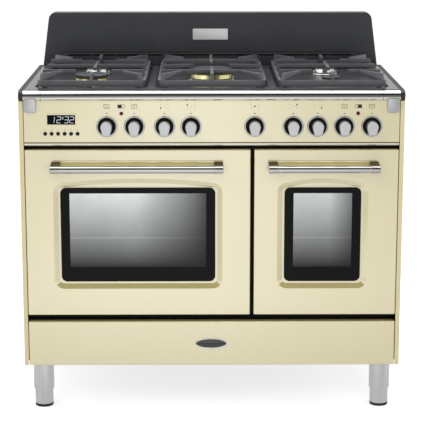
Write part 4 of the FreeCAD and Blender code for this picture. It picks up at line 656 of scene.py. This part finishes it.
def finish_nodes():
    for name, material in NODE_FINISH.items():
        paint_faces(NODES[name], [material])
    for name, piece in NODES.items():
        if name.startswith("clock_button"):
            paint_faces(piece, [BUTTON_GLOSS])


def finish_knobs():
    """The disc on the panel is black; the grip in front of it is silver."""
    disc_front = DOOR_FACE - 4.5 * MM
    for name, piece in NODES.items():
        if name.endswith("_knob"):
            paint_faces(piece, [KNOB_SILVER, KNOB_BLACK],
                        lambda centre, normal: int(centre.y > disc_front))


def finish_front_rail():
    """Steel bar with black caps on its ends."""
    bar_end = 487.15 * MM
    paint_faces(NODES["front_rail"], [RAIL_STEEL, BLACK_PLASTIC],
                lambda centre, normal: int(abs(centre.x) > bar_end))


def finish_feet():
    """Steel foot on a black plastic ring."""
    ring_top = 8.0 * MM
    paint_faces(NODES["leg_feet"], [LEG_STEEL, BLACK_PLASTIC],
                lambda centre, normal: int(centre.z < ring_top))


def finish_handles():
    """Brushed tube between two chrome sleeves, on darker posts."""
    sleeve = 25.2 * MM
    post_front = DOOR_FACE - 31 * MM
    for side in ("left", "right"):
        name = side + "_door_handle"
        low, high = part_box(name)

        def finish(centre, normal):
            if low.x + sleeve < centre.x < high.x - sleeve:
                return 0
            return 2 if centre.y > post_front else 1

        paint_faces(NODES[name], [HANDLE_STEEL, SLEEVE_CHROME, POST_CHROME], finish)


def finish_panel():
    """Enamelled sheet on a thin steel nose."""
    nose_top = 731.0 * MM
    paint_faces(NODES["control_panel"], [PANEL_CREAM, NOSE_STEEL],
                lambda centre, normal: int(centre.z < nose_top))


def finish_flue_cover():
    """Enamelled like the splashback; its top and slanted corners are black as painted shade for the shadow
    gap behind the cover.
    """
    # Painted shade: the upward faces are black, standing for the shadow gap along the cover's top edge.
    paint_faces(NODES["flue_cover"], [SPLASH_ENAMEL, BLACK_FRAME],
                lambda centre, normal: int(normal.z > 0.5))


def finish_crowns():
    """The three front and middle crowns are brass, the two at the back chromed."""
    rear = DOOR_FACE + 350 * MM
    paint_faces(NODES["burner_crowns"], [BRASS, CROWN_CHROME],
                lambda centre, normal: int(centre.y > rear))


# ------------------------------------------------------------------ castings with rounded edges
def softened(source, name, material, body, width, segments=2):
    """Copy of a CAD node with its edges rounded, which then stands for the node."""
    only(NODES[source])
    bpy.ops.object.duplicate()
    piece = name_new(name)
    piece.parent = None
    for key in list(piece.keys()):
        del piece[key]
    only(piece)
    bpy.ops.object.mode_set(mode="EDIT")
    bpy.ops.mesh.select_all(action="SELECT")
    bpy.ops.mesh.remove_doubles(threshold=0.00002)
    bpy.ops.mesh.dissolve_limited(angle_limit=math.radians(1.0))
    leave_edit()
    if piece.data.has_custom_normals:
        bpy.ops.mesh.customdata_custom_splitnormals_clear()
    round_edges(piece, width * MM, segments, 30)
    dress(piece, material, body)
    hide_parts(source)
    return piece


def grates():
    for side in ("left", "middle", "right"):
        name = side + "_grate"
        softened(name, name + "_casting", CAST_IRON, name + "_body", 1.4)


# ------------------------------------------------------------------ door glass
def rounded_rectangle(name, low, high, radius, segments=6):
    """Upright plate between two corners with its four corners rounded, seen from the front."""
    plate = block(name, low, high)
    along_y = abs(high.y - low.y) * 0.9
    pick_edges(plate, lambda a, b: abs(a.y - b.y) > along_y)
    bpy.ops.mesh.bevel(offset=radius, segments=segments, affect="EDGES")
    leave_edit()
    return plate


# The outer pane and the black print round its window, and how far the inner pane reaches past that window.
PANE_THICKNESS = 3.5
PANE_CORNER = 15.0
BORDER_SIDE = 23.9
BORDER_BELOW = 39.2
BORDER_ABOVE = 15.0
INNER_MARGIN = 12.0
INNER_THICKNESS = 4.0
INNER_CORNER = 9.0


def door_glass(side):
    """Outer pane whose black border is printed round a clear window, and the plain inner pane behind it."""
    low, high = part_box(side + "_door_glazing")
    inset = BORDER_ABOVE * MM
    window_low = Vector((low.x + BORDER_SIDE * MM, 0, low.z + BORDER_BELOW * MM))
    window_high = Vector((high.x - BORDER_SIDE * MM, 0, high.z - BORDER_ABOVE * MM))
    pane_back = Vector((high.x, low.y + PANE_THICKNESS * MM, high.z))
    pane = rounded_rectangle(side + "_outer_glass", low, pane_back, PANE_CORNER * MM)
    pick_faces(pane, lambda centre, normal: normal.y < -0.9)
    bpy.ops.mesh.inset(thickness=inset)
    leave_edit()
    fit_inner_loop(pane, low, high, window_low, window_high, inset)

    def border(centre, normal):
        """The print covers all but the window and the back of the pane."""
        in_window = normal.y < -0.9 and inside(centre, window_low, window_high, MM)
        return int(not in_window and normal.y < 0.9)

    smooth(pane, 40)
    paint_faces(pane, [GLASS_FILM[side], GLASS_BLACK], border)
    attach(pane, side + "_door")
    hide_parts(side + "_door_glazing")
    margin = INNER_MARGIN * MM
    inner = rounded_rectangle(
        side + "_inner_glass",
        Vector((window_low.x - margin, high.y - INNER_THICKNESS * MM, window_low.z - margin)),
        Vector((window_high.x + margin, high.y, window_high.z + margin)), INNER_CORNER * MM)
    round_edges(inner, 0.5 * MM)
    dress(inner, GLASS_CLEAR, side + "_door")


def inside(point, low, high, margin):
    """Whether a point lies in an upright rectangle, seen from the front."""
    return (low.x - margin < point.x < high.x + margin
            and low.z - margin < point.z < high.z + margin)


def fit_inner_loop(pane, low, high, window_low, window_high, inset):
    """Moves the inset loop of the front face onto the clear window's outline."""
    old_low = Vector((low.x + inset, 0, low.z + inset))
    old_high = Vector((high.x - inset, 0, high.z - inset))

    def move(place):
        on_front = abs(place.y - low.y) < 0.01 * MM
        if not (on_front and inside(place, old_low, old_high, 0.1 * MM)):
            return
        for axis in (0, 2):
            if place[axis] > (low[axis] + high[axis]) / 2:
                place[axis] = window_high[axis] - (old_high[axis] - place[axis])
            else:
                place[axis] = window_low[axis] + (place[axis] - old_low[axis])

    move_vertices(pane, move)


# ------------------------------------------------------------------ marks, clock and plates
PANEL_FACE = 2.0
PRINT = 0.15
KNOB_X = (-272.3, -200.7, -122.6, -53.9, 111.2, 210.8, 274.4, 343.3, 414.6)
GAS_MARKS = {-122.6: 0, -53.9: 1, 111.2: 2, 210.8: 3, 274.4: 4}
OVEN_MARKS = {-272.3: False, -200.7: True, 343.3: False, 414.6: True}
BURNER_DOTS = ((-9.5, -4.2), (-9.5, 4.2), (0, 0), (9.5, 4.2), (9.5, -4.2))
BURNER_DOT = 1.0
OWN_BURNER_DOT = 2.1
MARK_Z = 828.5
MARK_LINE = 1.0
MARK_STROKE = 0.9
LAMP_MARK_SHIFT = 4.6
DOT_Z = 810.0
DOT_RADIUS = 1.6
BEZEL_FACE = -1.0
BEZEL_NOTCH_Z = 801.7
BEZEL_NOTCH_RADIUS = 1.1
BUTTON_X = tuple(-432.0 + i * 16.8 for i in range(6))
BUTTON_MARK_Z = 767.5
BUTTON_MARK = (3.2, 0.7)


def print_bar(x, z, width, height):
    """Flat printed bar on the control panel, centred at x, z."""
    return block("print_bar", spot(x - width / 2, PANEL_FACE - PRINT, z - height / 2),
                 spot(x + width / 2, PANEL_FACE + PRINT, z + height / 2))


def print_dot(x, z, radius, y=PANEL_FACE):
    return disc("print_dot", spot(x, y, z), radius * MM, 2 * PRINT * MM, "Y", 16)


def mark_frame(x, width, height):
    """Outline of a box in the row of marks."""
    made = [print_bar(x, MARK_Z + side * height / 2, width, MARK_LINE) for side in (1, -1)]
    made += [print_bar(x + side * width / 2, MARK_Z, MARK_LINE, height) for side in (-1, 1)]
    return made


def burner_mark(x, own):
    """Map of the five burners with the knob's own one larger."""
    return [print_dot(x + dx, MARK_Z + dz, OWN_BURNER_DOT if i == own else BURNER_DOT)
            for i, (dx, dz) in enumerate(BURNER_DOTS)]


def oven_mark(x, raised):
    """Little oven with an upright stroke inside and a level one beside it."""
    made = mark_frame(x, 14.0, 9.5)
    made.append(print_bar(x - 1.5, MARK_Z, MARK_STROKE, 5.5))
    made.append(print_bar(x + 1.0, MARK_Z + (1.8 if raised else -1.8), 4.0, MARK_STROKE))
    return made


def lamp_mark(x, filled_left):
    """Two ovens side by side, one of them filled."""
    full = -LAMP_MARK_SHIFT if filled_left else LAMP_MARK_SHIFT
    made = mark_frame(x - full, 7.0, 9.0)
    made.append(print_bar(x + full, MARK_Z, 10.0, 9.5))
    return made


def panel_marks():
    """The panel's prints as one piece: index dots, pictograms, and minus and plus signs under the buttons."""
    made = []
    for x in KNOB_X:
        made.append(print_dot(x, DOT_Z, DOT_RADIUS))
        made.append(print_dot(x, BEZEL_NOTCH_Z, BEZEL_NOTCH_RADIUS, BEZEL_FACE))
        if x in GAS_MARKS:
            made += burner_mark(x, GAS_MARKS[x])
    for x, raised in OVEN_MARKS.items():
        made += oven_mark(x, raised)
    for x, filled_left in zip(LAMP_SPOTS, (True, False)):
        made += lamp_mark(x, filled_left)
    long, thin = BUTTON_MARK
    for i, x in enumerate(BUTTON_X):
        made.append(print_bar(x, BUTTON_MARK_Z, long, thin))
        if i % 2:
            made.append(print_bar(x, BUTTON_MARK_Z, thin, long))
    dress(join("panel_marks", made), PRINT_GREY, "root")


# Each bar of a digit: its side, its height, and whether it lies level.
SEGMENTS = {
    "top": (0, 1, True), "middle": (0, 0, True), "bottom": (0, -1, True),
    "upper_right": (1, 0.5, False), "lower_left": (-1, -0.5, False), "lower_right": (1, -0.5, False),
}
DIGITS = {
    "1": ("upper_right", "lower_right"),
    "2": ("top", "upper_right", "middle", "lower_left", "bottom"),
    "3": ("top", "upper_right", "middle", "lower_right", "bottom"),
}
DIGIT_WIDTH = 10.5
DIGIT_HEIGHT = 17.0
DIGIT_LINE = 1.05
DIGIT_DEPTH = 0.2
DIGIT_LEAN = 0.12
SEGMENT_GAP = 0.6
CLOCK_X = middle("clock_display").x / MM
CLOCK_FACE = 1.4
CLOCK_Z = 793.8
CLOCK_TIME = ((-412.4, "1"), (-395.8, "2"), (-376.4, "3"), (-362.5, "2"))
COLON_X = -386.0
COLON_RISES = (2.2, 6.4)
CLOCK_FRAME_HALF = (39.5, 16.5)
CLOCK_FRAME_DEPTH = 1.2
CLOCK_FRAME_CORNER = 2.5
CLOCK_FRAME_BORDER = 3.2


def segment(x, name):
    """One bar of the digit whose middle is at x, with its corners cut."""
    side, height, level = SEGMENTS[name]
    length = (DIGIT_WIDTH if level else DIGIT_HEIGHT / 2) - SEGMENT_GAP
    centre_x = x + side * (DIGIT_WIDTH - DIGIT_LINE) / 2
    centre_z = CLOCK_Z + height * (DIGIT_HEIGHT - DIGIT_LINE) / 2
    half_w = (length if level else DIGIT_LINE) / 2
    half_h = (DIGIT_LINE if level else length) / 2
    front = CLOCK_FACE - 0.25
    bar = block("segment", spot(centre_x - half_w, front, centre_z - half_h),
                spot(centre_x + half_w, front + DIGIT_DEPTH, centre_z + half_h))
    pick_edges(bar, lambda a, b: abs(a.y - b.y) > 0.1 * MM)
    bpy.ops.mesh.bevel(offset=0.7 * MM, segments=2, affect="EDGES")
    leave_edit()
    return bar


def clock_digits():
    """Slanted digits with a colon."""
    made = []
    for x, digit in CLOCK_TIME:
        made += [segment(x, name) for name in DIGITS[digit]]
    for rise in COLON_RISES:
        made.append(disc("colon", spot(COLON_X, CLOCK_FACE - 0.15, CLOCK_Z + rise), 1.1 * MM,
                         DIGIT_DEPTH * MM, "Y", 12))
    digits = join("clock_digits", made)

    def lean(place):
        place.x += (place.z - CLOCK_Z * MM) * DIGIT_LEAN

    move_vertices(digits, lean)
    dress(digits, DIGIT_WHITE, "root")


def clock_frame():
    """Thin raised border round the clock's window."""
    half_w, half_h = CLOCK_FRAME_HALF
    low = spot(CLOCK_X - half_w, PANEL_FACE - CLOCK_FRAME_DEPTH, CLOCK_Z - half_h)
    high = spot(CLOCK_X + half_w, PANEL_FACE, CLOCK_Z + half_h)
    border = rounded_rectangle("clock_frame", low, high, CLOCK_FRAME_CORNER * MM, 4)
    pick_faces(border, lambda centre, normal: abs(normal.y) > 0.9)
    bpy.ops.mesh.inset(thickness=CLOCK_FRAME_BORDER * MM)
    bpy.ops.mesh.bridge_edge_loops()
    leave_edit()
    round_edges(border, 0.5 * MM)
    dress(border, CREAM, "root")


# Half width and half height of the whole oval and of its black field.
BADGE_CENTRE = (-2.0, -1.5, 191.5)
BADGE_HALF = (42.5, 13.8)
BADGE_FIELD_HALF = (40.7, 12.0)
BADGE_THICKNESS = 3.0


def drawer_badge():
    """Oval badge: silver rim round a bare, slightly domed black field."""
    centre = spot(*BADGE_CENTRE)
    half_w, half_h = BADGE_HALF
    field_w, field_h = BADGE_FIELD_HALF
    badge = disc("drawer_badge", Vector((0, 0, 0)), 1.0, BADGE_THICKNESS * MM, "Y", 64)
    badge.scale = (half_w * MM, 1, half_h * MM)
    badge.location = centre
    seat(badge)
    pick_faces(badge, lambda place, normal: normal.y < -0.9)
    step(1.9 * MM, (0, 0.9 * MM, 0))
    step(4.0 * MM, (0, -0.5 * MM, 0))
    leave_edit()
    smooth(badge, 40)

    def finish(place, normal):
        across = (place.x - centre.x) / (field_w * MM)
        up = (place.z - centre.z) / (field_h * MM)
        return int(across ** 2 + up ** 2 < 1.0)

    paint_faces(badge, [PLATE_SILVER, BADGE_BLACK], finish)
    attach(badge, "drawer")


PLATE_LOW = (-51, 563.4, 943.5)
PLATE_HIGH = (51, 565, 975.5)


def splash_plate():
    """Bare silver plate in the middle of the splashback."""
    plate = rounded_rectangle("splash_plate", spot(*PLATE_LOW), spot(*PLATE_HIGH), 1.5 * MM, 3)
    round_edges(plate, 0.4 * MM)
    dress(plate, PLATE_SILVER, "root")


# ------------------------------------------------------------------ burner details
# Place of each burner and the radius of its crown.
BURNER_SPOTS = ((-320, 165, 46), (-320, 407, 33), (1, 286, 62), (320, 407, 33), (320, 165, 25))
WELL_FLOOR = 862.0
PLUG_GAP = 3.5
PLUG_ANGLES = (215, 335)
# Radius, height, and height of the middle above the well's floor.
PLUG_POST = (2.2, 11, 7.5)
PLUG_TIP = (0.9, 3.2, 14.5)


def spark_plug(x, y, crown, angle):
    """Ceramic post with a steel tip beside a burner's crown."""
    reach = crown + PLUG_GAP
    px = x + reach * math.cos(angle)
    py = y + reach * math.sin(angle)
    radius, height, rise = PLUG_POST
    post = disc("spark_post", spot(px, py, WELL_FLOOR + rise), radius * MM, height * MM, "Z", 20)
    round_edges(post, 0.5 * MM)
    radius, height, rise = PLUG_TIP
    tip = disc("spark_tip", spot(px, py, WELL_FLOOR + rise), radius * MM, height * MM, "Z", 14)
    return post, tip


def spark_plugs():
    """Two beside each burner, one for the spark and one for the flame sensor."""
    posts = []
    tips = []
    for x, y, crown in BURNER_SPOTS:
        for angle in PLUG_ANGLES:
            post, tip = spark_plug(x, y, crown, math.radians(angle))
            posts.append(post)
            tips.append(tip)
    dress(join("spark_plugs", posts), CERAMIC, "root")
    dress(join("spark_tips", tips), SPARK_STEEL, "root")


# ------------------------------------------------------------------ screws
BACK_FACE = 576.2
SCREW_RADIUS = 4.0
SCREW_HEIGHT = 1.2
# Rows along the top and bottom, then columns along the sides.
SCREW_GRIDS = (((-470, -235, 0, 235, 470), (142, 828)), ((-488, 488), (260, 400, 540, 680)))


def back_screw(x, z):
    """Domed screw head with a dimple in its middle."""
    outward = Vector((0, 1, 0))
    radius = SCREW_RADIUS * MM
    centre = spot(x, BACK_FACE, z) + outward * (SCREW_HEIGHT / 2) * MM
    head = disc("screw", centre, radius, SCREW_HEIGHT * MM, "Y", 24)
    pick_faces(head, lambda place, normal: normal.dot(outward) > 0.9)
    step(radius * 0.35, outward * 0.5 * MM)
    step(radius * 0.3, outward * -0.8 * MM)
    leave_edit()
    smooth(head, 40)
    return head


def back_screws():
    made = [back_screw(x, z) for columns, rows in SCREW_GRIDS for x in columns for z in rows]
    dress(join("back_panel_screws", made), SCREW_STEEL, "root")


# ------------------------------------------------------------------ studio, in metres
WORLD_LIGHT = 0.42
FLOOR_COLOR = (0.86, 0.86, 0.86)
FLOOR_GLOW = 0.6
# The floor's mirrored glow rises from FLOOR_NEAR to FLOOR_FAR away from the object's faces, a painted shadow
# of the object.
SIDE_FACE = 0.5
FLOOR_NEAR = 0.1
FLOOR_NEAR_GLOW = 0.6
FLOOR_FAR = 1.2
# The pool of light in front of the doors fades to the sides, and begins over POOL_START.
POOL_MIDDLE = -0.15
POOL_INNER = 0.2
POOL_OUTER = 1.3
POOL_GLOW = 1.15
POOL_EDGE_GLOW = 0.6
POOL_START = 0.3
FLAG_DISTANCE = 2.5
FLAG_LOW = 1.25
FLAG_HIGH = 4.5
FLAG_WIDTH = 6.0
# Name, place, aim, side of the square, watts, and whether glossy surfaces mirror it.
LAMPS = (
    ("key_light", (-2.0, -2.6, 3.0), (0, 0, 0.5), 2.4, 30, True),
    ("front_light", (0.6, -3.4, 1.4), (0, 0, 0.5), 2.5, 40, False),
    ("top_light", (0, 0.4, 3.2), (0, 0, 0.8), 2.2, 40, True),
    ("left_light", (-3.2, 0.5, 1.3), (0, 0.2, 0.5), 2.0, 22, False),
    ("right_light", (3.2, 0.5, 1.3), (0, 0.2, 0.5), 2.0, 22, False),
)
CAMERA_DISTANCE = 4.0186
CAMERA_HEIGHT = 1.411
CAMERA_SIDE = -0.032
AIM = (0.0004, DOOR_FACE, 0.5497)
LENS = 133.16
SENSOR = 36


def seen_directly(tree):
    """1 for rays from the camera and through glass, else 0."""
    rays = node(tree, "ShaderNodeLightPath")
    return maths(tree, "MAXIMUM", rays.outputs["Is Camera Ray"], rays.outputs["Is Transmission Ray"])


def mirrored(tree):
    """1 for rays that a glossy surface sends on, else 0."""
    return node(tree, "ShaderNodeLightPath").outputs["Is Glossy Ray"]


def white_world():
    """White where it is looked at, directly or in mirror images, and dimmer as a light."""
    world = bpy.data.worlds.new("studio")
    bpy.context.scene.world = world
    world.use_nodes = True
    tree = world.node_tree
    background = tree.nodes["Background"]
    background.inputs["Color"].default_value = (1, 1, 1, 1)
    looked_at = maths(tree, "MAXIMUM", seen_directly(tree), mirrored(tree))
    tree.links.new(span(tree, looked_at, WORLD_LIGHT, 1.0), background.inputs["Strength"])


def floor_glow(tree):
    """White for the camera; in mirror images a painted pool of light in front that fades aside, darkened near
    the object by a painted shadow.
    """
    place = axes(tree, here(tree))
    in_front = maths(tree, "SUBTRACT", DOOR_FACE, place["Y"])
    behind = maths(tree, "ADD", DOOR_FACE, place["Y"])
    beside = maths(tree, "SUBTRACT", maths(tree, "ABSOLUTE", place["X"]), SIDE_FACE)
    away = maths(tree, "MAXIMUM", in_front, maths(tree, "MAXIMUM", behind, beside))
    # Painted shadow: the mirrored floor is darker close to the object's faces.
    painted_shadow_fade = span(tree, away, FLOOR_NEAR_GLOW, 1.0, FLOOR_NEAR, FLOOR_FAR)
    aside = maths(tree, "ABSOLUTE", maths(tree, "SUBTRACT", place["X"], POOL_MIDDLE))
    pool = span(tree, aside, POOL_GLOW, POOL_EDGE_GLOW, POOL_INNER, POOL_OUTER)
    front_part = span(tree, in_front, 0.0, 1.0, 0.0, POOL_START)
    pool = maths(tree, "ADD", 1.0, maths(tree, "MULTIPLY", front_part, maths(tree, "SUBTRACT", pool, 1.0)))
    image = maths(tree, "MULTIPLY", mirrored(tree), maths(tree, "MULTIPLY", painted_shadow_fade, pool))
    return maths(tree, "ADD", maths(tree, "MULTIPLY", seen_directly(tree), FLOOR_GLOW), image)


def pale_floor():
    nothing_selected()
    bpy.ops.mesh.primitive_plane_add(size=60, location=(0, 0, 0))
    floor = name_new("floor")
    material, tree, shader = new_material("studio_floor", FLOOR_COLOR, 0.7)
    flow = place_group(tree, ENAMEL_FLOW, roughness=0.7, unevenness=0.05, wave_size=8.0, wave_depth=0.01)
    feed(tree, flow, shader, "Roughness")
    paint = blend(tree, mirrored(tree), FLOOR_COLOR, (0, 0, 0))
    tree.links.new(paint, shader.inputs["Base Color"])
    shader.inputs["Emission Color"].default_value = (1, 1, 1, 1)
    tree.links.new(floor_glow(tree), shader.inputs["Emission Strength"])
    floor.data.materials.append(material)


def dark_flag():
    """Black card in front of the object that only glossy surfaces mirror, for the dark lines in the steel."""
    nothing_selected()
    middle_height = (FLAG_LOW + FLAG_HIGH) / 2
    bpy.ops.mesh.primitive_plane_add(
        size=1, location=(0, DOOR_FACE - FLAG_DISTANCE, middle_height), rotation=(math.pi / 2, 0, 0))
    card = name_new("dark_flag")
    card.scale = (FLAG_WIDTH, FLAG_HIGH - FLAG_LOW, 1)
    seat(card)
    material, tree, shader = new_material("flag_black", (0.02, 0.02, 0.02), 0.9)
    mottle = noise(tree, here(tree), 30.0)
    tree.links.new(span(tree, mottle, 0.85, 0.95), shader.inputs["Roughness"])
    clear = node(tree, "ShaderNodeBsdfTransparent")
    mix = node(tree, "ShaderNodeMixShader")
    tree.links.new(mirrored(tree), mix.inputs["Fac"])
    tree.links.new(clear.outputs["BSDF"], mix.inputs[1])
    tree.links.new(shader.outputs["BSDF"], mix.inputs[2])
    tree.links.new(mix.outputs["Shader"], tree.nodes["Material Output"].inputs["Surface"])
    card.data.materials.append(material)


def aimed(name, data, place, aim):
    """New lamp or camera at a place, turned towards another."""
    made = bpy.data.objects.new(name, data)
    bpy.context.scene.collection.objects.link(made)
    made.location = place
    made.rotation_euler = (Vector(aim) - made.location).to_track_quat("-Z", "Y").to_euler()
    return made


def lamps():
    for name, place, aim, size, power, in_mirrors in LAMPS:
        data = bpy.data.lights.new(name, "AREA")
        data.size = size
        data.energy = power
        aimed(name, data, place, aim).visible_glossy = in_mirrors


def camera():
    data = bpy.data.cameras.new("camera")
    data.lens = LENS
    data.sensor_width = SENSOR
    place = (CAMERA_SIDE, DOOR_FACE - CAMERA_DISTANCE, CAMERA_HEIGHT)
    bpy.context.scene.camera = aimed("camera", data, place, AIM)


finish_nodes()
finish_knobs()
finish_front_rail()
finish_feet()
finish_handles()
finish_crowns()
finish_panel()
finish_flue_cover()
grates()
softened("rail_brackets", "rail_bracket_wedges", PLAIN_STEEL, "root", 1.5, 3)
for door_side in ("left", "right"):
    door_glass(door_side)
panel_marks()
clock_frame()
clock_digits()
drawer_badge()
splash_plate()
spark_plugs()
back_screws()
white_world()
lamps()
pale_floor()
dark_flag()
camera()
bpy.context.scene.view_settings.view_transform = "Standard"
